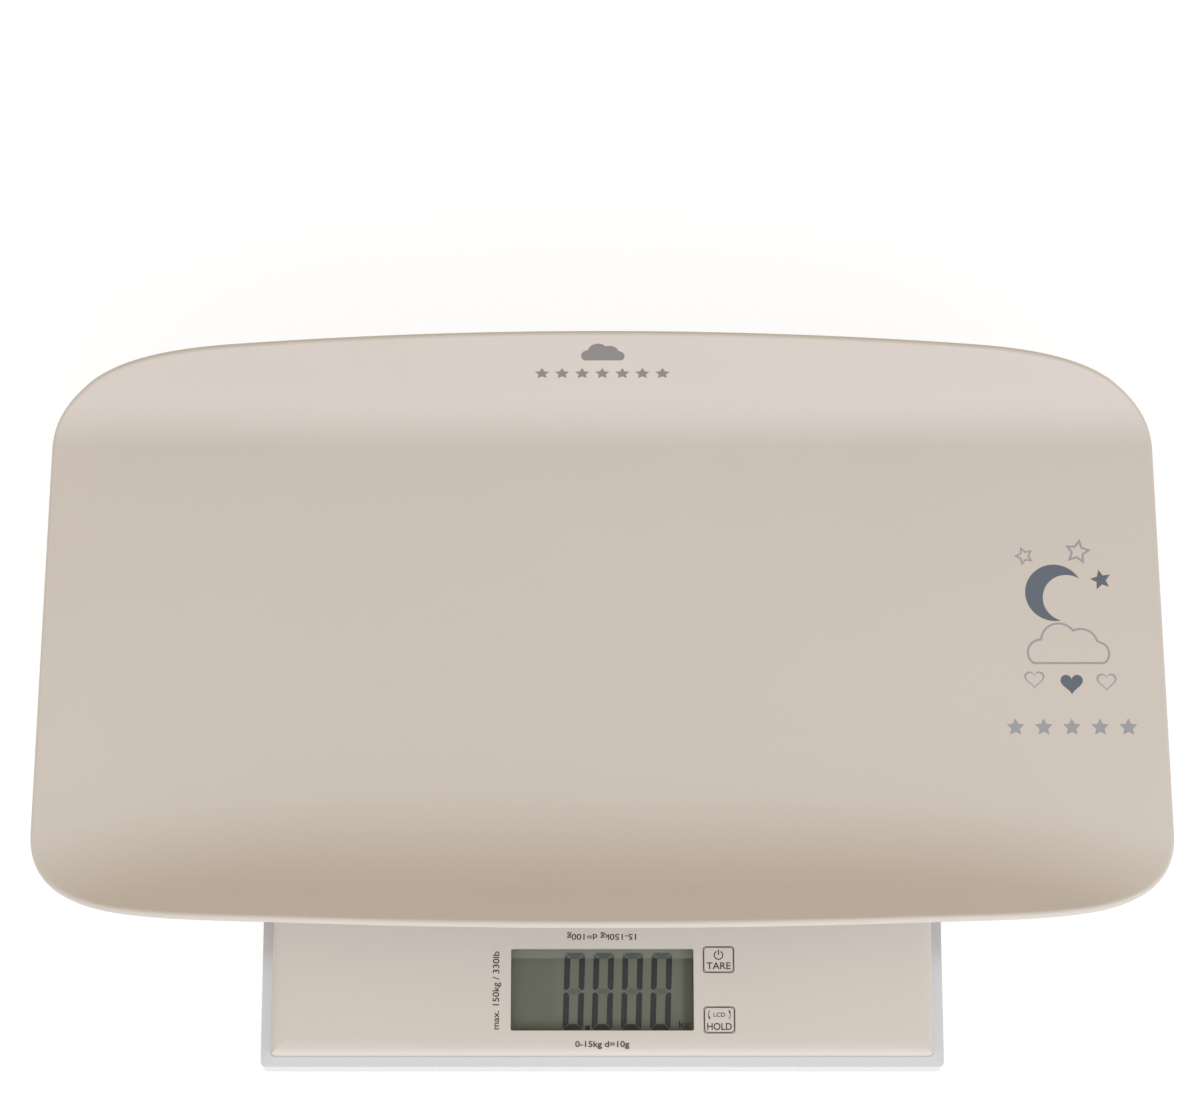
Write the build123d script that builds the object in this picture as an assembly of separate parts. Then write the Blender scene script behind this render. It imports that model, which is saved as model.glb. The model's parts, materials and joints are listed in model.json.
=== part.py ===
from build123d import *
import math
import os

# A two-in-one digital baby scale: a curved tray lies on a square weighing platform and lifts
# off it. Millimetres. +X runs along the tray, -Y is the display side, +Z is up. The origin is
# on the ground, under the middle of the whole object.

# ---- Weighing platform -------------------------------------------------------------------
platform_size = 300.0
platform_corner = 2.2
ground_clearance = 5.2
floor_thickness = 2.4
housing_wall = 2.3
rim_top = 21.5
rim_width = 4.5
rim_web = 2.5
rim_shoulder_width = 1.5
rim_shoulder_drop = 0.4
ledge_width = 2.0
ledge_drop = 3.0
cover_seam = 0.1
cover_top = 27.0
cover_plate = 2.5
cover_wall = 2.4
cover_corner = 2.0
cover_roll_run = 7.0
cover_roll_rise = 3.5
cover_roll_fullness = 0.8
cover_roll_thinning = 0.4
rib_pitch = 29.0
rib_thickness = 1.6
rib_depth = 5.5
rib_clearance = 3.0

# ---- Display and keys (places are measured from the platform's middle) ---------------------
window_width = 80.4
window_depth = 36.2
window_corner = 0.7
window_y = -116.8
window_fit = 0.2
window_recess = 0.3
window_flange = 1.5
window_flange_thickness = 1.2
lcd_thickness = 2.4
lcd_margin = 1.0
lcd_fit = 0.2
lcd_gap = 0.1
lcd_frame_wall = 1.5
lcd_strip_width = 2.0
key_width = 13.9
key_depth = 11.9
key_corner = 1.4
key_gap = 0.35
key_flange = 1.0
key_flange_thickness = 1.3
key_stem_radius = 2.0
key_places = {"tare": (51.2, -103.6), "hold": (51.4, -130.2)}
switch_size = 6.0
switch_height = 3.6
plunger_radius = 1.7
plunger_length = 2.1
plunger_proud = 1.1
plunger_bore_gap = 0.35
key_travel = 0.5
flat_margin = 2.0

# ---- Circuit board -------------------------------------------------------------------------
board_thickness = 1.6
board_left = -50.0
board_right = 68.0
board_front = -141.0
board_back = -93.0
board_top = 16.0
board_post_inset = 4.0
board_post_radius = 3.0
board_screw_head_radius = 2.4
board_screw_head_height = 1.4
board_screw_radius = 1.0
board_screw_length = 5.0
board_screw_fit = 0.1
board_corner = 1.5
amplifier_width = 5.0
amplifier_depth = 6.0
amplifier_height = 1.6
capacitor_radius = 2.5
capacitor_height = 4.5
capacitor_step = 9.0
board_part_inset = 6.5
potting_radius = 8.0
potting_height = 1.8

# ---- Batteries -----------------------------------------------------------------------------
cell_radius = 5.25
cell_length = 43.5
cell_nub_radius = 1.9
cell_nub_length = 1.0
cell_pitch = 11.2
cell_count = 2
bay_side_gap = 0.4
bay_y = 20.0
bay_wall = 1.5
bay_door_gap = 0.45
bay_ceiling_gap = 0.15
contact_thickness = 0.5
contact_width = 7.0
contact_height = 8.0
spring_length = 6.0
spring_crown = 3.0
spring_lip = 1.2
door_gap = 0.35
door_tab_reach = 1.2
door_tab_thickness = 0.9
door_tab_lift = 0.25
door_tab_side_width = 2.0
door_tab_middle_width = 4.6
door_heel = 1.0
latch_width = 9.0
latch_height = 4.5
latch_leg = 1.0
latch_bend_gap = 2.2
latch_gap = 0.8
thumb_radius = 9.0
thumb_depth = 1.2

# ---- Load cells and feet -------------------------------------------------------------------
foot_inset = 32.0
pad_radius = 16.5
pad_thickness = 3.2
pad_chamfer = 0.6
foot_cup_radius = 18.0
foot_cup_top = 4.6
foot_cup_skirt = 1.4
foot_cup_fit = 0.3
foot_stem_radius = 6.0
foot_stem_gap = 1.4
foot_pin_radius = 2.0
foot_pin_fit = 0.1
clip_radius = 4.5
clip_thickness = 0.5
load_cell_size = 34.0
load_cell_corner = 3.0
load_cell_thickness = 2.0
load_cell_bottom = 10.0
tongue_width = 16.0
tongue_length = 15.0
tongue_slot = 2.5
tongue_tip_margin = 8.0
cell_seat_wall = 2.0
cell_seat_shelf = 2.0
cell_seat_fence = 2.5
cell_seat_fit = 0.3
cell_lead_notch = 8.0
cell_post_width = 4.5
cell_post_length = 22.0
gauge_size = 5.0
gauge_thickness = 0.8
gauge_corner = 1.0
gauge_margin = 1.0

# ---- Screws --------------------------------------------------------------------------------
screw_radius = 1.25
screw_hole_radius = 1.7
screw_pilot_radius = 1.3
screw_head_radius = 2.9
screw_head_height = 2.0
screw_well_radius = 3.4
screw_web = 2.0
housing_boss_radius = 5.0
housing_boss_top = 15.0
housing_well_depth = 5.0
housing_screw_length = 14.0
cover_post_radius = 4.0
pilot_spare = 1.0
housing_screw_edge = 12.0
housing_screw_side = 80.0
housing_screw_mid = 50.0

# ---- Leads ---------------------------------------------------------------------------------
lead_radius = 0.8
lead_floor_gap = 0.3
lead_bend_share = 0.45
lead_exit_gap = 0.2
lead_exit_run = 3.0
lead_drop_run = 6.0
lead_rise_run = 6.0
lead_entry = 8.0
lead_bend_run = 16.0
side_lead_x = 85.0
side_lead_turn_y = 100.0
lead_wander = 1.5
lead_wander_pitch = 47.0
side_lead_steps = 4

# ---- Tray ----------------------------------------------------------------------------------
tray_overhang = 19.2
tray_length = 503.0
tray_depth = 267.0
tray_thickness = 3.5
tray_rim_radius = 1.5
tray_floor_top = 45.0
back_bend_radius = 28.0
back_wall_angle = 60.0
back_wall_run = 39.1
back_crown_radius = 3500.0
back_crown_half = 165.0
front_bend_radius = 57.0
front_wall_angle = 43.0
front_wall_run = 59.3
front_crown_radius = 3300.0
front_crown_half = 165.0
side_taper = 3.0
back_corner_run = 40.6
back_corner_pull_along = 55.0
back_corner_pull_side = 25.0
front_corner_run = 45.3
front_corner_pull_along = 54.0
front_corner_pull_side = 30.0
sheet_spare = 20.0
flare_start = 120.0
flare_radius = 520.0
fin_thickness = 2.4
fin_root_depth = 11.0
fin_tip_depth = 2.0
fin_end_inset = 22.0
fin_margin = 20.0

# ---- Saddle under the tray -----------------------------------------------------------------
saddle_wall = 2.4
saddle_side_gap = 0.6
saddle_front_margin = 8.0
saddle_back_margin = 6.0
saddle_corner = 6.0
saddle_rib = 2.0
saddle_rib_pitch = 50.0
saddle_rib_pairs = 2
lip_reach = 8.0
lip_inset = 22.0
lip_lead_in = 1.2
grip_pad_radius = 11.0
grip_pad_thickness = 2.0
grip_pad_recess = 0.8
grip_pad_fit = 0.2
grip_socket_wall = 2.4
grip_socket_height = 4.0
grip_pad_margin = 20.0
tray_boss_radius = 3.5
tray_boss_length = 8.0
saddle_boss_wall = 1.9
saddle_boss_fit = 0.3
saddle_boss_margin = 14.0
saddle_screw_length = 8.6

# ---- Worked out from the sizes above --------------------------------------------------------
whole_depth = platform_size + tray_overhang
platform_y = -tray_overhang / 2
platform_half = platform_size / 2
floor_top = ground_clearance + floor_thickness
floor_root = floor_top - floor_thickness / 4
ledge_z = rim_top - ledge_drop
rim_inner_half = platform_half - rim_width
ledge_inner_half = rim_inner_half - ledge_width
cover_half = rim_inner_half - cover_seam
cover_under = cover_top - cover_plate
cover_root = cover_under + cover_plate / 4
rib_bottom = cover_under - rib_depth
cavity_roll_run = cover_roll_run - cover_plate / 2
cavity_roll_rise = cover_roll_rise - cover_plate + cover_roll_thinning

window_top = cover_top - window_recess
window_flange_bottom = cover_under - window_flange_thickness
lcd_width = window_width + 2 * lcd_margin
lcd_depth = window_depth + 2 * lcd_margin
lcd_top = window_flange_bottom - lcd_gap
lcd_bottom = lcd_top - lcd_thickness
board_bottom = board_top - board_thickness
key_flange_bottom = cover_under - key_flange_thickness
switch_top = board_top + switch_height
plunger_top = switch_top + plunger_proud

cell_axis_z = floor_top + bay_door_gap + cell_radius
bay_half_width = (cell_count - 1) * cell_pitch / 2 + cell_radius + bay_side_gap
bay_length = contact_thickness + cell_nub_length + cell_length + spring_length
bay_front = bay_y - bay_length / 2
bay_back = bay_y + bay_length / 2
bay_ceiling = cell_axis_z + cell_radius + bay_ceiling_gap
door_back = bay_back + bay_wall + 2 * door_gap + latch_leg
latch_back = door_back + latch_bend_gap + latch_leg

foot_place = platform_half - foot_inset
load_cell_top = load_cell_bottom + load_cell_thickness
seat_inner = load_cell_size + 2 * cell_seat_fit
seat_outer = seat_inner + 2 * cell_seat_wall
tongue_tip_y = -load_cell_size / 2 + tongue_tip_margin

lead_z = floor_top + lead_floor_gap + lead_radius
lead_board_z = board_bottom - lead_radius
lead_exit_z = load_cell_bottom + lead_radius + lead_exit_gap
lead_exit_x = foot_place - seat_outer / 2 - lead_exit_run

tray_half = tray_length / 2
tray_back = whole_depth / 2
tray_front = tray_back - tray_depth
tray_under = tray_floor_top - tray_thickness
tray_root = tray_under + tray_thickness / 3


def rim_reach(wall_angle):
    """How far the rounded rim stands out past the inner edge of a wall at this angle."""
    angle = math.radians(wall_angle)
    corner = math.sin(angle) + math.cos(angle) - 1
    return tray_thickness * math.sin(angle) - tray_rim_radius * corner


back_peak = tray_back - rim_reach(back_wall_angle)
front_peak = tray_front + rim_reach(front_wall_angle)
back_bend_start = back_peak - back_wall_run
front_bend_start = front_peak + front_wall_run

saddle_half = platform_half + saddle_side_gap + saddle_wall
saddle_front = front_bend_start + saddle_front_margin
saddle_back = back_bend_start - saddle_back_margin
saddle_bottom = cover_top + grip_pad_thickness - grip_pad_recess
saddle_y = (saddle_front + saddle_back) / 2
saddle_boss_z = tray_under - tray_boss_length

corners = {
    "front_left": (-1, -1),
    "front_right": (1, -1),
    "rear_left": (-1, 1),
    "rear_right": (1, 1),
}


# ---- Shared shapes -------------------------------------------------------------------------
def block(x_low, x_high, y_low, y_high, z_low, z_high):
    """A box given by its two corners."""
    middle = Pos((x_low + x_high) / 2, (y_low + y_high) / 2, (z_low + z_high) / 2)
    return middle * Box(x_high - x_low, y_high - y_low, z_high - z_low)


def rod(x, y, z_low, z_high, radius):
    """An upright cylinder between two heights."""
    return Pos(x, y, (z_low + z_high) / 2) * Cylinder(radius, z_high - z_low)


def slab(x, y, width, depth, corner, z_low, z_high):
    """A flat plate with rounded corners between two heights."""
    outline = Pos(x, y, z_low) * RectangleRounded(width, depth, corner)
    return extrude(outline, z_high - z_low)


def square_slab(half, corner, z_low, z_high):
    """A square plate about the platform's middle."""
    return slab(0, 0, 2 * half, 2 * half, corner, z_low, z_high)


def crowned_slab(half, roll_run, roll_rise, z_low, z_top):
    """A square slab whose top edges roll down in full, soft curves and meet in mitres."""
    z_spring = z_top - roll_rise
    flat_half = half - roll_run
    pull_half = flat_half + cover_roll_fullness * roll_run
    pull_z = z_spring + cover_roll_fullness * roll_rise
    roll = [(half, z_spring), (half, pull_z), (pull_half, z_top), (flat_half, z_top)]
    section = make_face([
        Line((-half, z_low), (half, z_low)),
        Line((half, z_low), (half, z_spring)),
        Bezier(*roll),
        Line((flat_half, z_top), (-flat_half, z_top)),
        Bezier(*[(-y, z) for y, z in reversed(roll)]),
        Line((-half, z_spring), (-half, z_low)),
    ])
    along_y = extrude(Plane.XZ * section, half, both=True)
    along_x = extrude(Plane.YZ * section, half, both=True)
    return along_x & along_y


def screw(x, y, head_bottom, head_height, head_radius, length, radius):
    """A pan-head screw that points up, its head below its shank."""
    head = rod(x, y, head_bottom, head_bottom + head_height, head_radius)
    shank = rod(x, y, head_bottom + head_height, head_bottom + head_height + length, radius)
    return head + shank


def group(solids):
    """Separate solids kept together as one node."""
    return Compound([piece for shape in solids for piece in shape.solids()])


def on_platform(shape):
    """Moves a shape from the platform's own middle to its place in the object."""
    return Pos(0, platform_y, 0) * shape


# ---- Tray shell ----------------------------------------------------------------------------
def tray_outline():
    """The tray's outline from above: crowned long edges, tapered sides, drawn-out corners."""
    def crown(radius, half):
        depth = radius - math.sqrt(radius ** 2 - half ** 2)
        slope = half / math.sqrt(radius ** 2 - half ** 2)
        return depth, slope

    back_depth, back_slope = crown(back_crown_radius, back_crown_half)
    front_depth, front_slope = crown(front_crown_radius, front_crown_half)
    back_half = tray_half - side_taper
    back_arc_y = back_peak - back_depth
    front_arc_y = front_peak + front_depth
    side_back = back_peak - back_corner_run
    side_front = front_peak + front_corner_run
    lean = side_taper / (side_back - side_front)

    back_corner = Bezier(
        (back_crown_half, back_arc_y),
        (back_crown_half + back_corner_pull_along,
         back_arc_y - back_corner_pull_along * back_slope),
        (back_half - back_corner_pull_side * lean, side_back + back_corner_pull_side),
        (back_half, side_back),
    )
    side = Line((back_half, side_back), (tray_half, side_front))
    front_corner = Bezier(
        (tray_half, side_front),
        (tray_half + front_corner_pull_side * lean, side_front - front_corner_pull_side),
        (front_crown_half + front_corner_pull_along,
         front_arc_y + front_corner_pull_along * front_slope),
        (front_crown_half, front_arc_y),
    )
    right = [back_corner, side, front_corner]
    left = [mirror(curve, about=Plane.YZ) for curve in right]
    back = ThreePointArc((-back_crown_half, back_arc_y), (0, back_peak),
                         (back_crown_half, back_arc_y))
    front = ThreePointArc((-front_crown_half, front_arc_y), (0, front_peak),
                          (front_crown_half, front_arc_y))
    return make_face([back] + right + [front] + left)


def wall_edges(x, start, toward, radius, wall_angle, length):
    """The bend and the straight of one wall's profile, in the plane at this x."""
    angle = math.radians(wall_angle)

    def on_bend(turn):
        rise = radius * (1 - math.cos(turn))
        return Vector(x, start + toward * radius * math.sin(turn), tray_floor_top + rise)

    foot = on_bend(angle)
    top = foot + Vector(0, toward * length * math.cos(angle), length * math.sin(angle))
    bend = Edge.make_three_point_arc(on_bend(0), on_bend(angle / 2), foot)
    return [bend, Edge.make_line(foot, top)]


def tray_sheets():
    """The tray's upper surface, larger all round than the tray: floor, rear and front wall."""
    reach = tray_half + sheet_spare
    turn = math.asin((reach - flare_start) / flare_radius)

    def flare_point(angle):
        return (flare_start + flare_radius * math.sin(angle),
                front_bend_start - flare_radius * (1 - math.cos(angle)))

    middle_x, middle_y = flare_point(turn / 2)
    end_x, end_y = flare_point(turn)
    floor = make_face([
        Line((-flare_start, front_bend_start), (flare_start, front_bend_start)),
        ThreePointArc((flare_start, front_bend_start), (middle_x, middle_y), (end_x, end_y)),
        Line((end_x, end_y), (end_x, back_bend_start)),
        Line((end_x, back_bend_start), (-end_x, back_bend_start)),
        Line((-end_x, back_bend_start), (-end_x, end_y)),
        ThreePointArc((-end_x, end_y), (-middle_x, middle_y), (-flare_start, front_bend_start)),
    ])
    sheets = [(Pos(0, 0, tray_floor_top) * floor).face()]

    back_length = back_wall_run / math.cos(math.radians(back_wall_angle))
    for edge in wall_edges(-reach, back_bend_start, 1, back_bend_radius, back_wall_angle,
                           back_length):
        sheets.append(Face.extrude(edge, (2 * reach, 0, 0)))

    front_length = front_wall_run / math.cos(math.radians(front_wall_angle))
    flare_axis = Axis((flare_start, front_bend_start - flare_radius, 0), (0, 0, 1))
    for edge in wall_edges(flare_start, front_bend_start, -1, front_bend_radius,
                           front_wall_angle, front_length):
        sheets.append(Face.extrude(edge, (-2 * flare_start, 0, 0)))
        flare = Face.revolve(edge, -math.degrees(turn), flare_axis)
        sheets.append(flare)
        sheets.append(flare.mirror(Plane.YZ))
    return sheets


def rim_edges(shell):
    """The long edges on both sides of the narrow faces that run round the rim."""
    rim_faces = []
    for face in shell.faces():
        half_length = sum(edge.length for edge in face.edges()) / 2
        if face.area / half_length < tray_thickness:
            rim_faces.append(face)
    edges = [edge for face in rim_faces for edge in face.edges()]
    return [edge for edge in edges if sum(other.is_same(edge) for other in edges) == 1]


def tray_fins():
    """Tapered ribs under the two ends of the tray, outside the saddle."""
    root = saddle_half + saddle_side_gap
    tip = tray_half - fin_end_inset
    profile = make_face(Polyline(
        (root, tray_root), (tip, tray_root),
        (tip, tray_under - fin_tip_depth), (root, tray_under - fin_root_depth), close=True))
    fins = []
    for y in (saddle_front + fin_margin, saddle_y, saddle_back - fin_margin):
        fin = Pos(0, y, 0) * extrude(Plane.XZ * profile, fin_thickness / 2, both=True)
        fins += [fin, mirror(fin, about=Plane.YZ)]
    return fins


def tray_boss_places():
    """Where the saddle is screwed to the tray."""
    rib_x = saddle_rib_pairs * saddle_rib_pitch
    rows = (saddle_front + saddle_boss_margin, saddle_back - saddle_boss_margin)
    return [(x, y) for x in (-rib_x, 0, rib_x) for y in rows]


def make_tray_shell():
    """One moulded sheet of even thickness, its edge square to the surface and rounded."""
    cutter = extrude(tray_outline(), 3 * tray_floor_top).solid()
    pieces = []
    for sheet in tray_sheets():
        for face in sheet.intersect(cutter).faces():
            pieces.append(Solid.thicken(face, tray_thickness, normal_override=(0, 0, -1)))
    shell = pieces[0].fuse(*pieces[1:])
    shell = shell.fillet(tray_rim_radius, rim_edges(shell))
    bosses = [rod(x, y, saddle_boss_z, tray_root, tray_boss_radius)
              for x, y in tray_boss_places()]
    shell = shell.fuse(*[piece.solid() for piece in tray_fins() + bosses])
    pilot_top = saddle_boss_z + saddle_screw_length - screw_web
    pilots = [rod(x, y, saddle_boss_z, pilot_top, screw_pilot_radius)
              for x, y in tray_boss_places()]
    return shell - pilots


# ---- Saddle --------------------------------------------------------------------------------
def grip_pad_places():
    """Where the saddle's rubber pads rest on the platform."""
    x = saddle_half - grip_pad_margin
    rows = {"front": saddle_front + grip_pad_margin, "rear": saddle_back - grip_pad_margin}
    return {name: (side * x, rows[name.split("_")[0]]) for name, (side, _) in corners.items()}


def make_tray_saddle():
    """A ribbed frame that carries the tray and hooks its side lips over the platform."""
    depth = saddle_back - saddle_front
    outer = slab(0, saddle_y, 2 * saddle_half, depth, saddle_corner, saddle_bottom, tray_under)
    inner = slab(0, saddle_y, 2 * (saddle_half - saddle_wall), depth - 2 * saddle_wall,
                 saddle_corner - saddle_wall, saddle_bottom, tray_under)
    frame = outer - inner

    inner_half = saddle_half - saddle_wall
    ribs = [block(-inner_half, inner_half, saddle_y - saddle_rib / 2, saddle_y + saddle_rib / 2,
                  saddle_bottom, tray_under)]
    for step in range(-saddle_rib_pairs, saddle_rib_pairs + 1):
        x = step * saddle_rib_pitch
        ribs.append(block(x - saddle_rib / 2, x + saddle_rib / 2, saddle_front + saddle_wall / 2,
                          saddle_back - saddle_wall / 2, saddle_bottom, tray_under))

    socket_radius = grip_pad_radius + grip_pad_fit + grip_socket_wall
    socket_top = saddle_bottom + grip_socket_height
    sockets = []
    recesses = []
    for x, y in grip_pad_places().values():
        sockets.append(rod(x, y, saddle_bottom, socket_top, socket_radius))
        side = math.copysign(inner_half, x)
        sockets.append(block(min(x, side), max(x, side), y - saddle_rib / 2, y + saddle_rib / 2,
                             saddle_bottom, tray_under))
        recesses.append(rod(x, y, saddle_bottom, saddle_bottom + grip_pad_recess,
                            grip_pad_radius + grip_pad_fit))

    socket = tray_boss_radius + saddle_boss_fit
    bosses = []
    for x, y in tray_boss_places():
        bosses.append(rod(x, y, saddle_bottom, tray_under, socket + saddle_boss_wall))
        recesses.append(rod(x, y, saddle_boss_z, tray_under, socket))
        recesses.append(rod(x, y, saddle_bottom, tray_under, screw_hole_radius))
        recesses.append(rod(x, y, saddle_bottom, saddle_boss_z - screw_web, screw_well_radius))

    lip_front = saddle_front + lip_inset
    lip_back = saddle_back - lip_inset
    lip_bottom = rim_top - lip_reach
    lip_profile = make_face(Polyline(
        (inner_half + lip_lead_in, lip_bottom), (saddle_half, lip_bottom),
        (saddle_half, tray_under), (inner_half, tray_under),
        (inner_half, lip_bottom + 2 * lip_lead_in), close=True))
    lip = extrude(Plane.XZ * lip_profile, (lip_back - lip_front) / 2, both=True)
    lip = Pos(0, (lip_front + lip_back) / 2, 0) * lip
    bottom_corners = lip.edges().filter_by(Axis.X).group_by(Axis.Z)[0]
    lip = fillet(bottom_corners, lip_reach / 2)
    frame = frame + ribs + sockets + bosses + [lip, mirror(lip, about=Plane.YZ)]
    return frame - recesses


def make_saddle_screws():
    """Six screws up through the saddle's bosses into the tray's."""
    head_bottom = saddle_boss_z - screw_web - screw_head_height
    return group([screw(x, y, head_bottom, screw_head_height, screw_head_radius,
                        saddle_screw_length, screw_radius) for x, y in tray_boss_places()])


def make_grip_pad(x, y):
    """A rubber disc set into its socket, which stands on the platform's top."""
    return rod(x, y, cover_top, cover_top + grip_pad_thickness, grip_pad_radius)


# ---- Platform cover ------------------------------------------------------------------------
def housing_screw_places():
    """Screws that hold the cover and the housing together, two along each edge."""
    edge = platform_half - housing_screw_edge
    front_and_back = [(x, y) for y in (-edge, edge)
                      for x in (-housing_screw_side, housing_screw_side)]
    sides = [(x, y) for x in (-edge, edge) for y in (-housing_screw_mid, housing_screw_mid)]
    return front_and_back + sides


def cover_ribs(cavity):
    """A square grid of ribs under the plate, left out over the display, cells and battery."""
    count = int(cover_half / rib_pitch)
    ribs = []
    for step in range(-count, count + 1):
        at = step * rib_pitch
        low = at - rib_thickness / 2
        high = at + rib_thickness / 2
        ribs.append(block(low, high, -cover_half, cover_half, rib_bottom, cover_top))
        ribs.append(block(-cover_half, cover_half, low, high, rib_bottom, cover_top))
    grid = ribs[0] + ribs[1:]
    bay_roof = bay_ceiling + bay_wall + lead_floor_gap
    keep_out = [
        block(board_left - rib_clearance, board_right + rib_clearance, -cover_half,
              board_back + rib_clearance, rib_bottom, cover_top),
        block(-bay_half_width - rib_clearance, bay_half_width + rib_clearance,
              bay_front - rib_clearance, bay_back + rib_clearance, rib_bottom, bay_roof),
    ]
    return (grid - keep_out) & cavity


def make_platform_cover():
    """The cream top: a thin crowned shell with its ribs, posts and apertures."""
    body = crowned_slab(cover_half, cover_roll_run, cover_roll_rise, ledge_z, cover_top)
    body = body & square_slab(cover_half, cover_corner, ledge_z, cover_top)
    cavity = crowned_slab(cover_half - cover_wall, cavity_roll_run, cavity_roll_rise, ledge_z,
                          cover_under)
    inside = crowned_slab(cover_half - cover_wall, cavity_roll_run, cavity_roll_rise,
                          load_cell_top, cover_root)
    shell = body - cavity + cover_ribs(inside)

    posts = []
    for x, y in housing_screw_places():
        posts.append(rod(x, y, housing_boss_top, cover_top, cover_post_radius))
    for side_x, side_y in corners.values():
        for across in (-1, 1):
            x = side_x * foot_place + across * (load_cell_size - cell_post_width) / 2
            y = side_y * foot_place
            posts.append(block(x - cell_post_width / 2, x + cell_post_width / 2,
                               y - cell_post_length / 2, y + cell_post_length / 2,
                               load_cell_top, cover_top))
    trimmed = [post & (inside + square_slab(cover_half - cover_roll_run, cover_corner,
                                            load_cell_top, cover_root))
               for post in posts]
    shell = shell + trimmed

    pilot_top = housing_boss_top + housing_screw_length - screw_web + pilot_spare
    cuts = [rod(x, y, housing_boss_top, min(pilot_top, cover_under), screw_pilot_radius)
            for x, y in housing_screw_places()]
    cuts.append(slab(0, window_y, window_width, window_depth, window_corner, cover_under,
                     cover_top))
    cuts.append(slab(0, window_y, window_width + 2 * flat_margin, window_depth + 2 * flat_margin,
                     window_corner, ledge_z, cover_under))
    for x, y in key_places.values():
        cuts.append(slab(x, y, key_width, key_depth, key_corner, cover_under, cover_top))
        cuts.append(slab(x, y, key_width + 2 * flat_margin, key_depth + 2 * flat_margin,
                         key_corner, ledge_z, cover_under))
    return on_platform(shell - cuts)


# ---- Housing -------------------------------------------------------------------------------
def cell_seat(x, y, inward):
    """A square pocket that holds one load cell above the floor, open for its lead."""
    outer = slab(x, y, seat_outer, seat_outer, load_cell_corner + cell_seat_wall,
                 floor_root, load_cell_bottom + cell_seat_fence)
    pocket = slab(x, y, seat_inner, seat_inner, load_cell_corner, load_cell_bottom,
                  load_cell_bottom + cell_seat_fence)
    well = load_cell_size - 2 * cell_seat_shelf
    below = slab(x, y, well, well, load_cell_corner, 0, load_cell_bottom)
    notch_end = x + inward * seat_outer
    notch = block(min(x, notch_end), max(x, notch_end), y - cell_lead_notch / 2,
                  y + cell_lead_notch / 2, load_cell_bottom, load_cell_bottom + cell_seat_fence)
    return outer - [pocket, below, notch]


def battery_pocket():
    """The walls and roof of the battery bay, before its inside is cut out."""
    return block(-bay_half_width - bay_wall, bay_half_width + bay_wall, bay_front - bay_wall,
                 bay_back + bay_wall, floor_root, bay_ceiling + bay_wall)


def battery_pocket_space():
    """What is cut out for the cells, the door, its tabs and its latch."""
    over_door = floor_top + door_gap
    latch_half = latch_width / 2 + door_gap
    space = [
        block(-bay_half_width, bay_half_width, bay_front, bay_back, 0, bay_ceiling),
        block(-bay_half_width, bay_half_width, bay_front, door_back + door_gap, 0, over_door),
        block(-latch_half, latch_half, bay_back, latch_back + latch_gap, 0, over_door),
        rod(0, latch_back, 0, ground_clearance + thumb_depth, thumb_radius),
    ]
    slot_top = floor_top + 2 * door_tab_lift + door_tab_thickness + door_gap
    for x_low, x_high in door_tab_spans():
        space.append(block(x_low - door_gap, x_high + door_gap, bay_front - 2 * bay_wall,
                           bay_front + bay_wall, floor_top, slot_top))
    return space


def door_tab_spans():
    """The door's three hinge tabs, in the free corners beside and between the cells."""
    edge = bay_half_width - door_gap
    side = door_tab_side_width
    middle = door_tab_middle_width / 2
    return [(-edge, side - edge), (-middle, middle), (edge - side, edge)]


def make_base_housing():
    """The silver lower housing: rim band, floor, seats, bosses, posts and battery bay."""
    outer = square_slab(platform_half, platform_corner, ground_clearance, rim_top)
    shoulder = (square_slab(platform_half, platform_corner, rim_top - rim_shoulder_drop, rim_top)
                - square_slab(platform_half - rim_shoulder_width, platform_corner / 2,
                              rim_top - rim_shoulder_drop, rim_top))
    upper = square_slab(rim_inner_half, cover_corner, ledge_z, rim_top)
    cavity = square_slab(ledge_inner_half, cover_corner, floor_top, ledge_z)
    groove = (square_slab(platform_half - housing_wall, platform_corner / 2, ground_clearance,
                          ledge_z - rim_web)
              - square_slab(rim_inner_half, cover_corner, ground_clearance, ledge_z - rim_web))
    shell = outer - [shoulder, upper, cavity, groove]

    added = [battery_pocket()]
    cuts = battery_pocket_space()
    for side_x, side_y in corners.values():
        x = side_x * foot_place
        y = side_y * foot_place
        added.append(cell_seat(x, y, -side_x))
        cuts.append(rod(x, y, 0, load_cell_bottom, foot_stem_radius + foot_stem_gap))
    for x, y in housing_screw_places():
        added.append(rod(x, y, ground_clearance, housing_boss_top, housing_boss_radius))
        well_top = ground_clearance + housing_well_depth
        cuts.append(rod(x, y, ground_clearance, well_top, screw_well_radius))
        cuts.append(rod(x, y, well_top, housing_boss_top, screw_hole_radius))
    for x, y in board_post_places():
        added.append(rod(x, y, floor_root, board_bottom,
                         board_post_radius))
        cuts.append(rod(x, y, floor_top, board_bottom, board_screw_radius))
    return on_platform(shell + added - cuts)


def make_housing_screws():
    """Eight screws up from the underside, their heads deep in the bosses."""
    head_bottom = ground_clearance + housing_well_depth - screw_head_height
    screws = [screw(x, y, head_bottom, screw_head_height, screw_head_radius,
                    housing_screw_length - screw_web, screw_radius)
              for x, y in housing_screw_places()]
    return on_platform(group(screws))


# ---- Display -------------------------------------------------------------------------------
def make_display_window():
    """A clear stepped lens: its raised middle fills the aperture, its flange lies below."""
    fit = 2 * window_fit
    middle = slab(0, window_y, window_width - fit, window_depth - fit, window_corner,
                  cover_under, window_top)
    flange = slab(0, window_y, window_width + 2 * window_flange, window_depth + 2 * window_flange,
                  window_corner, window_flange_bottom, cover_under)
    return on_platform(middle + flange)


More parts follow.
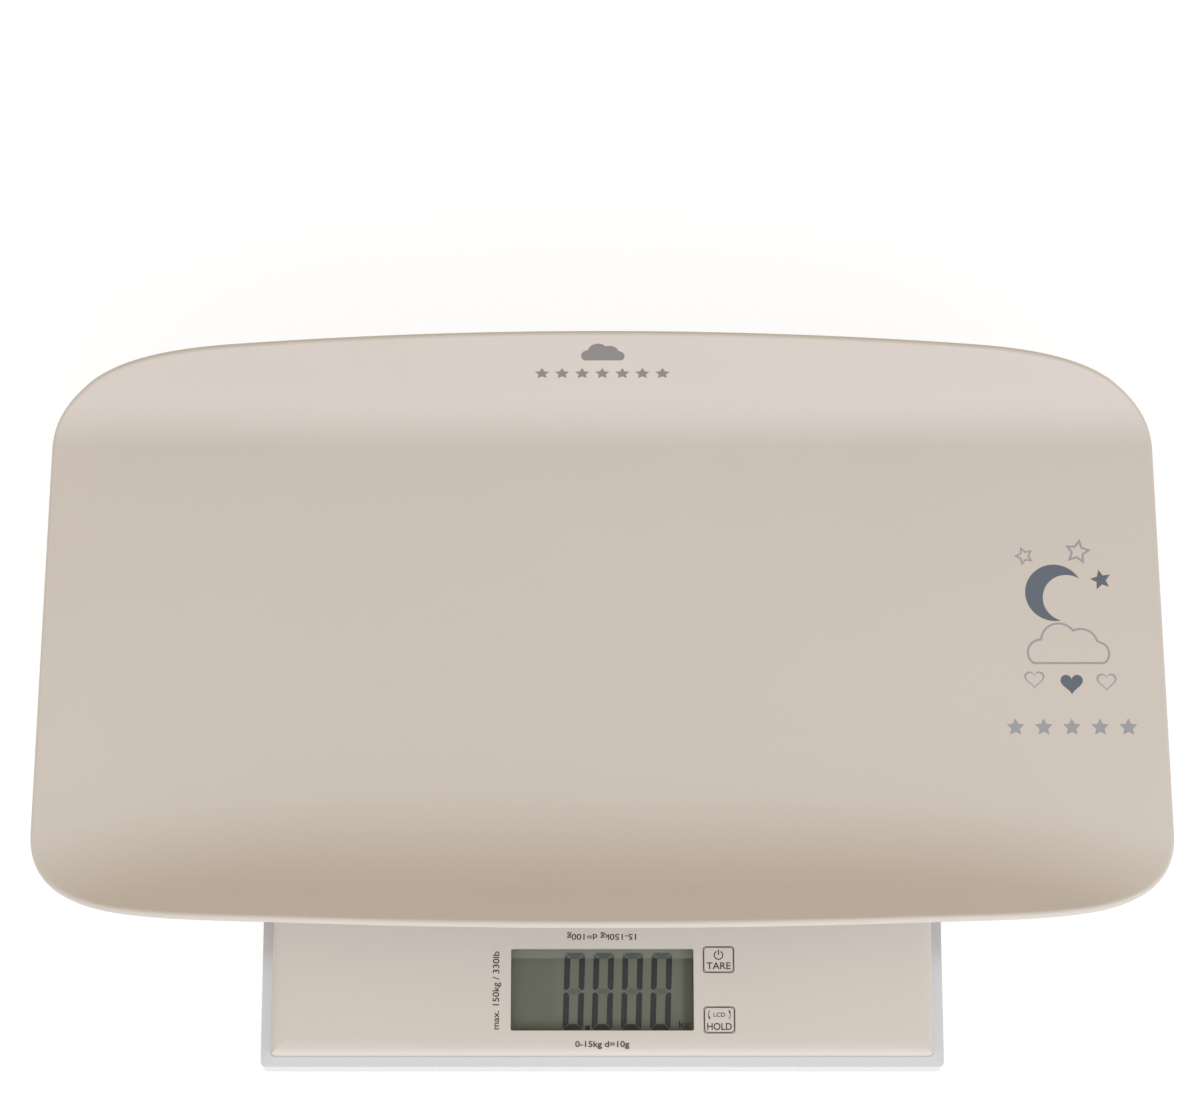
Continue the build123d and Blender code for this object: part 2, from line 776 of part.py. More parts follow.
def make_lcd_panel():
    """The liquid crystal glass under the lens."""
    return on_platform(block(-lcd_width / 2, lcd_width / 2, window_y - lcd_depth / 2,
                             window_y + lcd_depth / 2, lcd_bottom, lcd_top))


def make_lcd_frame():
    """A frame on the board that holds the glass at its two ends."""
    inner_width = lcd_width + 2 * lcd_fit
    inner_depth = lcd_depth + 2 * lcd_fit
    wall = 2 * lcd_frame_wall
    outer = slab(0, window_y, inner_width + wall, inner_depth + wall, lcd_frame_wall / 2,
                 board_top, lcd_top)
    well = block(-inner_width / 2, inner_width / 2, window_y - inner_depth / 2,
                 window_y + inner_depth / 2, lcd_bottom, lcd_top)
    shelf_width = inner_width - 2 * lcd_strip_width
    below = block(-shelf_width / 2, shelf_width / 2, window_y - inner_depth / 2,
                  window_y + inner_depth / 2, board_top, lcd_bottom)
    return on_platform(outer - [well, below])


def make_lcd_contact_strips():
    """Two rubber contact strips between the board and the glass."""
    half = lcd_width / 2 - 2 * lcd_strip_width
    strips = []
    for side in (-1, 1):
        y = window_y + side * (lcd_depth / 2 - lcd_strip_width / 2)
        strips.append(block(-half, half, y - lcd_strip_width / 2, y + lcd_strip_width / 2,
                            board_top, lcd_bottom))
    return on_platform(group(strips))


# ---- Circuit board -------------------------------------------------------------------------
def board_post_places():
    """The board's four fixing points."""
    return [(x, y) for x in (board_left + board_post_inset, board_right - board_post_inset)
            for y in (board_front + board_post_inset, board_back - board_post_inset)]


def make_main_board():
    """The circuit board, drilled for its screws."""
    width = board_right - board_left
    depth = board_back - board_front
    plate = slab((board_left + board_right) / 2, (board_front + board_back) / 2, width, depth,
                 board_corner, board_bottom, board_top)
    holes = [rod(x, y, board_bottom, board_top, board_screw_radius + board_screw_fit)
             for x, y in board_post_places()]
    return on_platform(plate - holes)


def make_board_parts():
    """The amplifier and the capacitors beside the keys, and the potted processor below."""
    x = board_right - board_part_inset
    amplifier = block(x - amplifier_width / 2, x + amplifier_width / 2,
                      window_y - amplifier_depth / 2, window_y + amplifier_depth / 2, board_top,
                      board_top + amplifier_height)
    capacitor = rod(x, window_y + capacitor_step, board_top, board_top + capacitor_height,
                    capacitor_radius)
    ball = (potting_radius ** 2 + potting_height ** 2) / (2 * potting_height)
    dome = Pos(0, window_y, board_bottom - potting_height + ball) * Sphere(ball)
    dome = dome & rod(0, window_y, board_bottom - 2 * potting_height, board_bottom,
                      2 * potting_radius)
    return on_platform(group([amplifier, capacitor, dome]))


def make_board_screws():
    """Four small screws down through the board into its posts."""
    screws = []
    for x, y in board_post_places():
        head = rod(x, y, board_top, board_top + board_screw_head_height,
                   board_screw_head_radius)
        shank = rod(x, y, board_top - board_screw_length, board_top,
                    board_screw_radius - board_screw_fit)
        screws.append(head + shank)
    return on_platform(group(screws))


# ---- Keys ----------------------------------------------------------------------------------
def make_key(x, y):
    """A key cap flush with the cover, with a flange below it and a stem to its switch."""
    gap = 2 * key_gap
    cap = slab(x, y, key_width - gap, key_depth - gap, key_corner - key_gap, cover_under,
               cover_top)
    flange = slab(x, y, key_width + 2 * key_flange, key_depth + 2 * key_flange, key_corner,
                  key_flange_bottom, cover_under)
    stem = rod(x, y, plunger_top, key_flange_bottom, key_stem_radius)
    return on_platform(cap + flange + stem)


def make_switch_body(x, y):
    """The push switch on the board, bored for its plunger."""
    half = switch_size / 2
    body = block(x - half, x + half, y - half, y + half, board_top, switch_top)
    bore_bottom = plunger_top - plunger_length - 2 * key_travel
    bore = rod(x, y, bore_bottom, switch_top, plunger_radius + plunger_bore_gap)
    return on_platform(body - bore)


def make_switch_plunger(x, y):
    """The switch's plunger, which the key's stem presses."""
    return on_platform(rod(x, y, plunger_top - plunger_length, plunger_top, plunger_radius))


# ---- Batteries -----------------------------------------------------------------------------
def cell_places():
    """Each cell's x, and 1 where its nub points to the back or -1 to the front."""
    first = -(cell_count - 1) * cell_pitch / 2
    return [(first + step * cell_pitch, -1 if step % 2 == 0 else 1)
            for step in range(cell_count)]


def cell_can_middle(toward):
    """The middle of a cell's can along the bay."""
    nub_end = bay_back if toward > 0 else bay_front
    return nub_end - toward * (contact_thickness + cell_nub_length + cell_length / 2)


def make_battery_cell(x, toward):
    """A dry cell lying along the bay."""
    middle = cell_can_middle(toward)
    lying = Pos(x, middle, cell_axis_z) * Rot(90, 0, 0)
    can = lying * Cylinder(cell_radius, cell_length)
    nub_y = middle + toward * (cell_length + cell_nub_length) / 2
    nub = Pos(x, nub_y, cell_axis_z) * Rot(90, 0, 0) * Cylinder(cell_nub_radius, cell_nub_length)
    return on_platform(can + nub)


def contact_plate(x, wall_y, inward):
    """A flat contact against an end wall of the bay."""
    front = min(wall_y, wall_y + inward * contact_thickness)
    return block(x - contact_width / 2, x + contact_width / 2, front, front + contact_thickness,
                 cell_axis_z - contact_height / 2, cell_axis_z + contact_height / 2)


def make_battery_contacts():
    """The flat contacts that the nubs meet."""
    plates = [contact_plate(x, bay_back if toward > 0 else bay_front, -toward)
              for x, toward in cell_places()]
    return on_platform(group(plates))


def make_battery_springs():
    """Bowed leaf springs that press on the flat ends of the cells."""
    springs = []
    for x, toward in cell_places():
        wall_y = bay_front if toward > 0 else bay_back
        tip = wall_y + toward * spring_length
        low = cell_axis_z - contact_height / 2
        high = cell_axis_z + contact_height / 2
        plate = wall_y + toward * contact_thickness
        inner_tip = tip - toward * contact_thickness
        free_end = wall_y + toward * spring_lip
        half_crown = spring_crown / 2
        bow = [
            (wall_y, low), (tip, cell_axis_z - half_crown), (tip, cell_axis_z + half_crown),
            (free_end + toward * contact_thickness, high), (free_end, high - contact_thickness),
            (inner_tip, cell_axis_z + half_crown), (inner_tip, cell_axis_z - half_crown),
            (plate, low + spring_lip), (plate, high), (wall_y, high),
        ]
        strip = extrude(Plane.YZ * make_face(Polyline(*bow, close=True)), contact_width / 2,
                        both=True)
        springs.append(Pos(x, 0, 0) * strip)
    return on_platform(group(springs))


def door_latch():
    """A sprung U that rises from the door's back edge and ends in a thumb tab."""
    foot = floor_top - floor_thickness / 2
    top = floor_top + latch_height
    outer = latch_back - latch_leg
    profile = make_face(Polyline(
        (door_back - latch_leg, foot), (door_back, foot), (door_back, top - latch_leg),
        (outer, top - latch_leg), (outer, ground_clearance), (latch_back, ground_clearance),
        (latch_back, top), (door_back - latch_leg, top), close=True))
    return extrude(Plane.YZ * profile, latch_width / 2, both=True)


def make_battery_door():
    """The hatch under the cells, with hinge tabs at the front and a sprung latch behind."""
    half = bay_half_width - door_gap
    front = bay_front + door_gap
    plate = block(-half, half, front, door_back, ground_clearance, floor_top)
    tab_low = floor_top + door_tab_lift
    tab_high = tab_low + door_tab_thickness
    tabs = []
    for x_low, x_high in door_tab_spans():
        tabs.append(block(x_low, x_high, bay_front - door_tab_reach, front + door_heel, tab_low,
                          tab_high))
        tabs.append(block(x_low, x_high, front, front + door_heel,
                          floor_root, tab_high))
    thumb = rod(0, latch_back, 0, ground_clearance + thumb_depth, thumb_radius)
    return on_platform(plate - thumb + tabs + door_latch())


# ---- Load cells and feet -------------------------------------------------------------------
def make_load_cell(x, y):
    """A steel plate with a slot round its middle tongue, which bends under load."""
    half = load_cell_size / 2
    plate = slab(x, y, load_cell_size, load_cell_size, load_cell_corner, load_cell_bottom,
                 load_cell_top)
    tip = y + tongue_tip_y
    root = tip + tongue_length
    around = block(x - tongue_width / 2 - tongue_slot, x + tongue_width / 2 + tongue_slot,
                   tip - tongue_slot, root, load_cell_bottom, load_cell_top)
    tongue = block(x - tongue_width / 2, x + tongue_width / 2, tip, y + half,
                   load_cell_bottom, load_cell_top)
    hole = rod(x, y, load_cell_bottom, load_cell_top, foot_pin_radius + foot_pin_fit)
    return on_platform(plate - around + tongue - hole)


def make_gauge_pads():
    """The sealed strain gauges at the roots of the four tongues."""
    pads = []
    for side_x, side_y in corners.values():
        x = side_x * foot_place
        y = side_y * foot_place + tongue_tip_y + tongue_length + gauge_margin + gauge_size / 2
        pads.append(slab(x, y, 2 * gauge_size, gauge_size, gauge_corner, load_cell_top,
                         load_cell_top + gauge_thickness))
    return on_platform(group(pads))


def make_foot_cup(x, y):
    """The foot: a flanged cup for the pad, a stem through the floor and a pin on top."""
    flange = rod(x, y, foot_cup_skirt, foot_cup_top, foot_cup_radius)
    recess = rod(x, y, foot_cup_skirt, pad_thickness, pad_radius + foot_cup_fit)
    stem = rod(x, y, foot_cup_top, load_cell_bottom, foot_stem_radius)
    pin = rod(x, y, load_cell_bottom, load_cell_top + 2 * clip_thickness, foot_pin_radius)
    return on_platform(flange - recess + stem + pin)


def make_foot_pad(x, y):
    """The rubber pad that stands on the ground."""
    pad = rod(x, y, 0, pad_thickness, pad_radius)
    return on_platform(chamfer(pad.edges().group_by(Axis.Z)[0], pad_chamfer))


def make_foot_clips():
    """Push-on washers that keep the feet on the load cells."""
    clips = []
    for side_x, side_y in corners.values():
        x = side_x * foot_place
        y = side_y * foot_place
        washer = rod(x, y, load_cell_top, load_cell_top + clip_thickness, clip_radius)
        clips.append(washer - rod(x, y, load_cell_top, load_cell_top + clip_thickness,
                                  foot_pin_radius + foot_pin_fit))
    return on_platform(group(clips))


# ---- Leads ---------------------------------------------------------------------------------
def lead(points):
    """A round lead along straight runs joined by the largest arcs that the runs allow."""
    vectors = [Vector(*point) for point in points]
    radii = []
    for before, here, after in zip(vectors, vectors[1:], vectors[2:]):
        turn = math.radians((here - before).get_angle(after - here))
        shorter = min((here - before).length, (after - here).length)
        radii.append(lead_bend_share * shorter / math.tan(turn / 2))
    path = FilletPolyline(*vectors, radius=radii)
    section = Plane(origin=path @ 0, z_dir=path % 0) * Circle(lead_radius)
    return on_platform(sweep(section, path=path))


def cell_lead_start(side, y):
    """A load cell lead's first run: level out of its seat, then down to the floor."""
    return [
        (side * (foot_place - load_cell_size / 2), y, lead_exit_z),
        (side * lead_exit_x, y, lead_exit_z),
        (side * (lead_exit_x - lead_drop_run), y, lead_z),
    ]


def board_edge_x(side):
    """The board's right or left edge."""
    return board_right if side > 0 else board_left


def make_front_cell_lead(side):
    """From a front load cell straight across the floor to the board."""
    edge = board_edge_x(side)
    return lead(cell_lead_start(side, -foot_place) + [
        (edge + side * lead_rise_run, -foot_place, lead_board_z),
        (edge - side * lead_entry, -foot_place, lead_board_z),
    ])


def make_rear_cell_lead(side):
    """From a rear load cell along the side of the floor and forward to the board."""
    run = [(side * (side_lead_x + lead_wander * (step % 2)),
            side_lead_turn_y - step * lead_wander_pitch, lead_z)
           for step in range(side_lead_steps)]
    entry_y = board_back - lead_entry
    return lead(cell_lead_start(side, foot_place) + run + [
        (side * side_lead_x, entry_y + lead_bend_run, lead_z),
        (side * (side_lead_x - lead_bend_run / 2), entry_y, lead_board_z),
        (board_edge_x(side) - side * lead_entry, entry_y, lead_board_z),
    ])


def make_battery_lead(side):
    """From the battery bay's front wall along the floor to the board's rear edge."""
    x = side * cell_pitch / 2
    start_y = bay_front - bay_wall
    floor_y = start_y - lead_exit_run - 2 * lead_drop_run
    return lead([
        (x, start_y, cell_axis_z),
        (x, start_y - lead_exit_run - lead_rise_run / 2, cell_axis_z),
        (x + side * lead_wander, floor_y, lead_z),
        (x, (floor_y + board_back) / 2, lead_z),
        (x + side * lead_wander, board_back + lead_bend_run, lead_z),
        (x, board_back + lead_rise_run, lead_board_z),
        (x, board_back - lead_entry, lead_board_z),
    ])


# ---- All the pieces ------------------------------------------------------------------------
def make_parts():
    """Every node of the object by name."""
    parts = {
        "tray_shell": make_tray_shell(),
        "tray_saddle": make_tray_saddle(),
        "saddle_screws": make_saddle_screws(),
        "platform_cover": make_platform_cover(),
        "base_housing": make_base_housing(),
        "housing_screws": make_housing_screws(),
        "display_window": make_display_window(),
        "lcd_panel": make_lcd_panel(),
        "lcd_frame": make_lcd_frame(),
        "lcd_contact_strips": make_lcd_contact_strips(),
        "main_board": make_main_board(),
        "board_parts": make_board_parts(),
        "board_screws": make_board_screws(),
        "battery_contacts": make_battery_contacts(),
        "battery_springs": make_battery_springs(),
        "battery_door": make_battery_door(),
        "gauge_pads": make_gauge_pads(),
        "foot_clips": make_foot_clips(),
        "battery_lead_red": make_battery_lead(-1),
        "battery_lead_black": make_battery_lead(1),
    }
    for name, (x, y) in grip_pad_places().items():
        parts["grip_pad_" + name] = make_grip_pad(x, y)
    for name, (x, y) in key_places.items():
        parts["key_" + name] = make_key(x, y)
        parts["switch_body_" + name] = make_switch_body(x, y)
        parts["switch_plunger_" + name] = make_switch_plunger(x, y)
    for number, (x, toward) in enumerate(cell_places(), start=1):
        parts[f"battery_cell_{number}"] = make_battery_cell(x, toward)
    for name, (side_x, side_y) in corners.items():
        x = side_x * foot_place
        y = side_y * foot_place
        parts["load_cell_" + name] = make_load_cell(x, y)
        parts["foot_cup_" + name] = make_foot_cup(x, y)
        parts["foot_pad_" + name] = make_foot_pad(x, y)
        make_lead = make_front_cell_lead if side_y < 0 else make_rear_cell_lead
        parts["cell_lead_" + name] = make_lead(side_x)
    return parts


os.makedirs("parts", exist_ok=True)
for node, shape in make_parts().items():
    shape.label = node
    export_step(shape, f"parts/{node}.step")
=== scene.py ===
import bpy
import json
import math
from mathutils import Matrix, Vector


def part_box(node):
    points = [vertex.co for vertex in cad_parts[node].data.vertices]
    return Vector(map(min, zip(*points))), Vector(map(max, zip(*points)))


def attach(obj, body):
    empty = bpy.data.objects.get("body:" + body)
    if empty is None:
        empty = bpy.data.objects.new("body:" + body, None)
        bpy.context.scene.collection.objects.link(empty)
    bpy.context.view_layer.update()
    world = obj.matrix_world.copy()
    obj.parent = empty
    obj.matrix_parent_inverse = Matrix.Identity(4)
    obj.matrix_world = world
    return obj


# Dresses the digital baby scale: materials for every sub-part, the printed legends and motifs,
# the display's segments, and a plain studio. Lengths are metres; mm makes them from millimetres.

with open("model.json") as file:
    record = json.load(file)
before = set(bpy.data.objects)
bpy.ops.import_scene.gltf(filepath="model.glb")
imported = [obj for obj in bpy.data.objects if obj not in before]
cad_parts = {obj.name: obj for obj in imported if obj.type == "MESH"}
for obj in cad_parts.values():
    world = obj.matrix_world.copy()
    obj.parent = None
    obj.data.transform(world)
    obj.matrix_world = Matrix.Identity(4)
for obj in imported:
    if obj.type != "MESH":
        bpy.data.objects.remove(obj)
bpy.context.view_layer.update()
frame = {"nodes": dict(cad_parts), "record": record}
nodes = frame["nodes"]
scene = bpy.context.scene
mm = 0.001

# ---- Finishes ----------------------------------------------------------------------------------
hairline_levels = (0.62, 0.74)
metal_shade_depth = 0.25
metal_gloss_depth = 0.6
metal_streak_height = 0.003 * mm
board_track_density = 220.0
board_track_edges = (0.05, 0.09)
board_track_height = 0.03 * mm
cell_band_length = 13.0 * mm
cell_band_blur = 0.2 * mm

# ---- Camera and studio -------------------------------------------------------------------------
camera_place = (-0.001, -0.3736, 1.690)
camera_tilt = 15.0
camera_lens = 114.0
camera_clip = (0.1, 20.0)

ambient_level = 0.635
ambient_colour = (1.0, 0.905, 0.77, 1.0)
paper_level = 240
paper_glow = 0.87
paper_shade = 0.20
cool_light = (0.73, 0.82, 1.0)
warm_light = (1.0, 0.87, 0.72)
light_distance = 2.0
light_aim = (0.0, 0.0, 0.05)
wide_light = (2.4, 1.6)
small_light = (0.9, 0.9)
# Each light's turn from +X and its height, in degrees, its size, its power and its colour.
lights = {
    "front_softbox": (-90, 36, wide_light, 16.0, cool_light),
    "right_softbox": (-35, 28, small_light, 14.0, cool_light),
    "left_softbox": (-145, 28, small_light, 7.0, cool_light),
    "rear_softbox": (90, 15, wide_light, 4.5, warm_light),
}
floor_reach = 4.0
floor_drop = 0.2 * mm
floor_fade = (0.35, 1.1)

# ---- Printing ----------------------------------------------------------------------------------
ink_thickness = 0.03 * mm
cap_height_share = 0.73
letter_swell = 0.014
corner_steps = 6
curve_steps = 48

# ---- Key legends, measured from the middle of each key's top -----------------------------------
key_bodies = {"key_tare": "tare_key", "key_hold": "hold_key"}
# How far the key's hidden flange stands out past its cap.
key_cap_inset = 1.35 * mm
key_line = 0.28 * mm
key_line_inset = 0.04 * mm
key_line_corner = 1.7 * mm
power_y = 2.0 * mm
power_radius = 2.1 * mm
power_line = 0.5 * mm
# The ring's opening, in degrees to each side of its top, and how far up its bar reaches.
power_opening = 28.0
power_bar = (0.1 * mm, 2.4 * mm)
arrow_y = 2.3 * mm
arrow_radius = 4.9 * mm
arrow_line = 0.34 * mm
arrow_barb = 0.36 * mm
# How far each arrow bends to both sides of level, its head's length and its tip, in degrees.
arrow_reach = 24.0
arrow_head = 14.0
arrow_tip = 6.0
# Each word's key, letters, width, capital height and height above the key's middle.
key_words = {
    "key_tare_word": ("key_tare", "TARE", 10.6 * mm, 3.1 * mm, -2.7 * mm),
    "key_hold_small_word": ("key_hold", "LCD", 5.2 * mm, 1.9 * mm, arrow_y),
    "key_hold_word": ("key_hold", "HOLD", 10.8 * mm, 3.1 * mm, -2.9 * mm),
}

# ---- Range labels ------------------------------------------------------------------------------
# Each label's words, width, capital height, place from the window's middle and turn.
range_labels = {
    "label_back": ("15-150kg d=100g", 30.5 * mm, 2.7 * mm, -0.3 * mm, 23.7 * mm, 180.0),
    "label_front": ("0-15kg d=10g", 23.7 * mm, 2.7 * mm, 0.0, -24.4 * mm, 0.0),
    "label_side": ("max. 150kg / 330lb", 34.5 * mm, 2.9 * mm, -46.3 * mm, -0.4 * mm, 90.0),
}

# ---- Display -----------------------------------------------------------------------------------
lens_clearness = 0.75
# Bands of painted light on the display, a painted reflection along the back edge and painted shade
# along the others: how far inside the lens's edge each begins and is full, and its strength.
display_painted_light_bands = {
    "back": (5.5 * mm, 5.0 * mm, 0.85),
    "left": (22.0 * mm, 18.0 * mm, 0.35),
    "right": (7.8 * mm, 4.6 * mm, 0.75),
    "front": (3.9 * mm, 2.2 * mm, 0.45),
}

# ---- Display digits, measured from the window's middle -----------------------------------------
digit_count = 4
digit_first_x = -12.5 * mm
digit_pitch = 12.8 * mm
digit_y = -0.25 * mm
digit_half_width = 4.55 * mm
digit_half_height = 17.05 * mm
digit_stroke = 2.6 * mm
digit_gap = 0.38 * mm
mitre_gap = 0.18 * mm
digit_corner = 1.2 * mm
digit_lean = math.tan(math.radians(1.6))
point_place = (-6.5 * mm, -16.4 * mm)
point_size = 2.0 * mm
unit_place = (36.2 * mm, -15.3 * mm)
unit_width = 5.1 * mm
unit_height = 3.3 * mm

# ---- Motifs ------------------------------------------------------------------------------------
motif_line = 0.95 * mm
star_points = 5
star_waist = 0.5
bold_star_waist = 0.46
crescent_bite = 0.82
crescent_offset = 0.46
cloud_base = 0.37
# The discs that make up a cloud of unit size: each one's middle and radius.
cloud_puffs = [(-0.55, -0.12, 0.31), (-0.17, 0.14, 0.40), (0.30, 0.05, 0.37), (0.63, -0.14, 0.28),
               (-0.25, -0.12, 0.36), (0.05, -0.12, 0.36), (0.35, -0.12, 0.36)]
# Each shape's place from its motif's middle, its size and, where it has one, its turn.
motif_x = 208.0 * mm
bold_moon = (-6.0 * mm, 49.0 * mm, 13.0 * mm, -24.0)
bold_heart = (0.5 * mm, 7.0 * mm, 10.0 * mm)
bold_star = (15.0 * mm, 55.0 * mm, 4.8 * mm, 12.0)
line_cloud = (-1.0 * mm, 24.0 * mm, 21.0 * mm)
large_line_star = (5.0 * mm, 68.0 * mm, 6.2 * mm, -10.0)
small_line_star = (-19.0 * mm, 66.0 * mm, 4.6 * mm, 20.0)
line_hearts = [(-16.0 * mm, 9.0 * mm, 9.0 * mm), (16.0 * mm, 8.0 * mm, 9.0 * mm)]
wall_cloud = (0.0, 5.0 * mm, 11.0 * mm)
# Each row of small stars: how many, their pitch, their height in the motif and their size.
floor_star_row = (5, 12.5 * mm, -12.5 * mm, 4.1 * mm)
wall_star_row = (7, 9.0 * mm, -7.0 * mm, 3.4 * mm)
# The rear wall's plane, where its motif is printed.
back_wall_slope = 60.0
back_wall_middle = (0.0, 149.0 * mm, 70.66 * mm)


# ---- Colour ------------------------------------------------------------------------------------
def paint(red, green, blue):
    """A colour given as 0 to 255 screen values, in the renderer's own linear values."""
    def channel(value):
        share = value / 255
        if share <= 0.04045:
            return share / 12.92
        return ((share + 0.055) / 1.055) ** 2.4
    return (channel(red), channel(green), channel(blue), 1.0)


# ---- Node trees --------------------------------------------------------------------------------
def add(tree, kind, inputs=None, **settings):
    """A new node in this tree, its inputs given as values or as sockets to join."""
    node = tree.nodes.new(kind)
    for key, value in settings.items():
        setattr(node, key, value)
    for key, value in (inputs or {}).items():
        if isinstance(value, bpy.types.NodeSocket):
            tree.links.new(value, node.inputs[key])
        else:
            node.inputs[key].default_value = value
    return node


def math_node(tree, operation, first, second):
    """The output of a node that does one sum."""
    return add(tree, "ShaderNodeMath", {0: first, 1: second}, operation=operation).outputs[0]


def blended(tree, factor, first, second):
    """Two colours mixed by a factor; each is a value or a socket."""
    return add(tree, "ShaderNodeMix", {0: factor, 6: first, 7: second},
               data_type="RGBA").outputs[2]


def ramp(tree, value, low, high, to_low=0.0, to_high=1.0):
    """A value that passes smoothly from one level to another between two limits."""
    return add(tree, "ShaderNodeMapRange",
               {"Value": value, "From Min": low, "From Max": high, "To Min": to_low,
                "To Max": to_high}, interpolation_type="SMOOTHSTEP").outputs["Result"]


def place_on_object(tree):
    """Places on the object, in metres."""
    return add(tree, "ShaderNodeTexCoord").outputs["Object"]


def noise(tree, place, size, detail=2.0, roughness=0.5):
    """A cloudy value whose blobs are about this size."""
    scale = math_node(tree, "DIVIDE", 1.0, size)
    return add(tree, "ShaderNodeTexNoise",
               {"Vector": place, "Scale": scale, "Detail": detail,
                "Roughness": roughness}).outputs["Fac"]


def swing(tree, value, depth):
    """A value near 0.5 turned into one near 1 that swings by about this depth."""
    spread = math_node(tree, "MULTIPLY", math_node(tree, "SUBTRACT", value, 0.5), depth)
    return math_node(tree, "ADD", spread, 1.0)


def new_group(name, inputs, outputs):
    """An empty shader node group with these sockets, and its inner input and output nodes."""
    group = bpy.data.node_groups.new(name, "ShaderNodeTree")
    for socket_name, kind, value in inputs:
        socket = group.interface.new_socket(name=socket_name, in_out="INPUT", socket_type=kind)
        socket.default_value = value
    for socket_name, kind in outputs:
        group.interface.new_socket(name=socket_name, in_out="OUTPUT", socket_type=kind)
    return group, add(group, "NodeGroupInput").outputs, add(group, "NodeGroupOutput").inputs


def join(tree, source, target):
    """Joins two sockets."""
    tree.links.new(source, target)


def make_moulded_skin():
    """Moulded plastic or rubber: faint clouds in the colour, uneven gloss and a fine grain."""
    group, given, made = new_group("moulded_skin", [
        ("Colour", "NodeSocketColor", (0.8, 0.8, 0.8, 1.0)),
        ("Cloud Size", "NodeSocketFloat", 0.09),
        ("Cloud Depth", "NodeSocketFloat", 0.05),
        ("Gloss Size", "NodeSocketFloat", 0.02),
        ("Roughness", "NodeSocketFloat", 0.35),
        ("Roughness Depth", "NodeSocketFloat", 0.25),
        ("Grain Size", "NodeSocketFloat", 0.0006),
    ], [
        ("Colour", "NodeSocketColor"),
        ("Roughness", "NodeSocketFloat"),
        ("Grain", "NodeSocketFloat"),
    ])
    place = place_on_object(group)
    cloud = noise(group, place, given["Cloud Size"], 3.0)
    shade = add(group, "ShaderNodeHueSaturation",
                {"Color": given["Colour"], "Value": swing(group, cloud, given["Cloud Depth"])})
    join(group, shade.outputs["Color"], made["Colour"])
    patches = noise(group, place, given["Gloss Size"], 4.0, 0.6)
    uneven = swing(group, patches, given["Roughness Depth"])
    join(group, math_node(group, "MULTIPLY", given["Roughness"], uneven), made["Roughness"])
    join(group, noise(group, place, given["Grain Size"], 2.0), made["Grain"])
    return group


def make_hairlines():
    """Fine straight handling marks that run one way: a mask, 0 on clean surface."""
    group, given, made = new_group("hairlines", [
        ("Spacing", "NodeSocketFloat", 0.004),
        ("Length", "NodeSocketFloat", 0.06),
        ("Amount", "NodeSocketFloat", 0.5),
    ], [
        ("Mask", "NodeSocketFloat"),
    ])
    place = place_on_object(group)
    stretch = math_node(group, "DIVIDE", given["Spacing"], given["Length"])
    squeezed = add(group, "ShaderNodeCombineXYZ", {"X": stretch, "Y": 1.0, "Z": 1.0})
    along = add(group, "ShaderNodeVectorMath",
                {0: place, 1: squeezed.outputs["Vector"]}, operation="MULTIPLY").outputs[0]
    lines = noise(group, along, given["Spacing"], 6.0, 0.7)
    sharp = add(group, "ShaderNodeMapRange",
                {"Value": lines, "From Min": hairline_levels[0],
                 "From Max": hairline_levels[1], "To Max": given["Amount"]})
    join(group, sharp.outputs["Result"], made["Mask"])
    return group


def make_drawn_metal():
    """Rolled or drawn metal: streaks along one way in the colour, the gloss and the height."""
    group, given, made = new_group("drawn_metal", [
        ("Colour", "NodeSocketColor", (0.6, 0.6, 0.6, 1.0)),
        ("Streak Width", "NodeSocketFloat", 0.0004),
        ("Streak Length", "NodeSocketFloat", 0.01),
        ("Roughness", "NodeSocketFloat", 0.3),
    ], [
        ("Colour", "NodeSocketColor"),
        ("Roughness", "NodeSocketFloat"),
        ("Streaks", "NodeSocketFloat"),
    ])
    place = place_on_object(group)
    stretch = math_node(group, "DIVIDE", given["Streak Width"], given["Streak Length"])
    squeezed = add(group, "ShaderNodeCombineXYZ", {"X": stretch, "Y": 1.0, "Z": 1.0})
    along = add(group, "ShaderNodeVectorMath",
                {0: place, 1: squeezed.outputs["Vector"]}, operation="MULTIPLY").outputs[0]
    streaks = noise(group, along, given["Streak Width"], 3.0)
    shade = add(group, "ShaderNodeHueSaturation",
                {"Color": given["Colour"], "Value": swing(group, streaks, metal_shade_depth)})
    join(group, shade.outputs["Color"], made["Colour"])
    uneven = swing(group, streaks, metal_gloss_depth)
    join(group, math_node(group, "MULTIPLY", given["Roughness"], uneven), made["Roughness"])
    join(group, streaks, made["Streaks"])
    return group


moulded_skin = make_moulded_skin()
hairlines = make_hairlines()
drawn_metal = make_drawn_metal()


# ---- Materials ---------------------------------------------------------------------------------
def new_material(name):
    """A material with one Principled shader: its tree and the shader's inputs."""
    material = bpy.data.materials.new(name)
    material.use_nodes = True
    tree = material.node_tree
    tree.nodes.clear()
    shader = add(tree, "ShaderNodeBsdfPrincipled")
    output = add(tree, "ShaderNodeOutputMaterial")
    join(tree, shader.outputs["BSDF"], output.inputs["Surface"])
    return material, tree, shader


def group_node(tree, group, inputs):
    """One use of a node group, with its own values."""
    node = add(tree, "ShaderNodeGroup", node_tree=group)
    for key, value in inputs.items():
        node.inputs[key].default_value = value
    return node.outputs


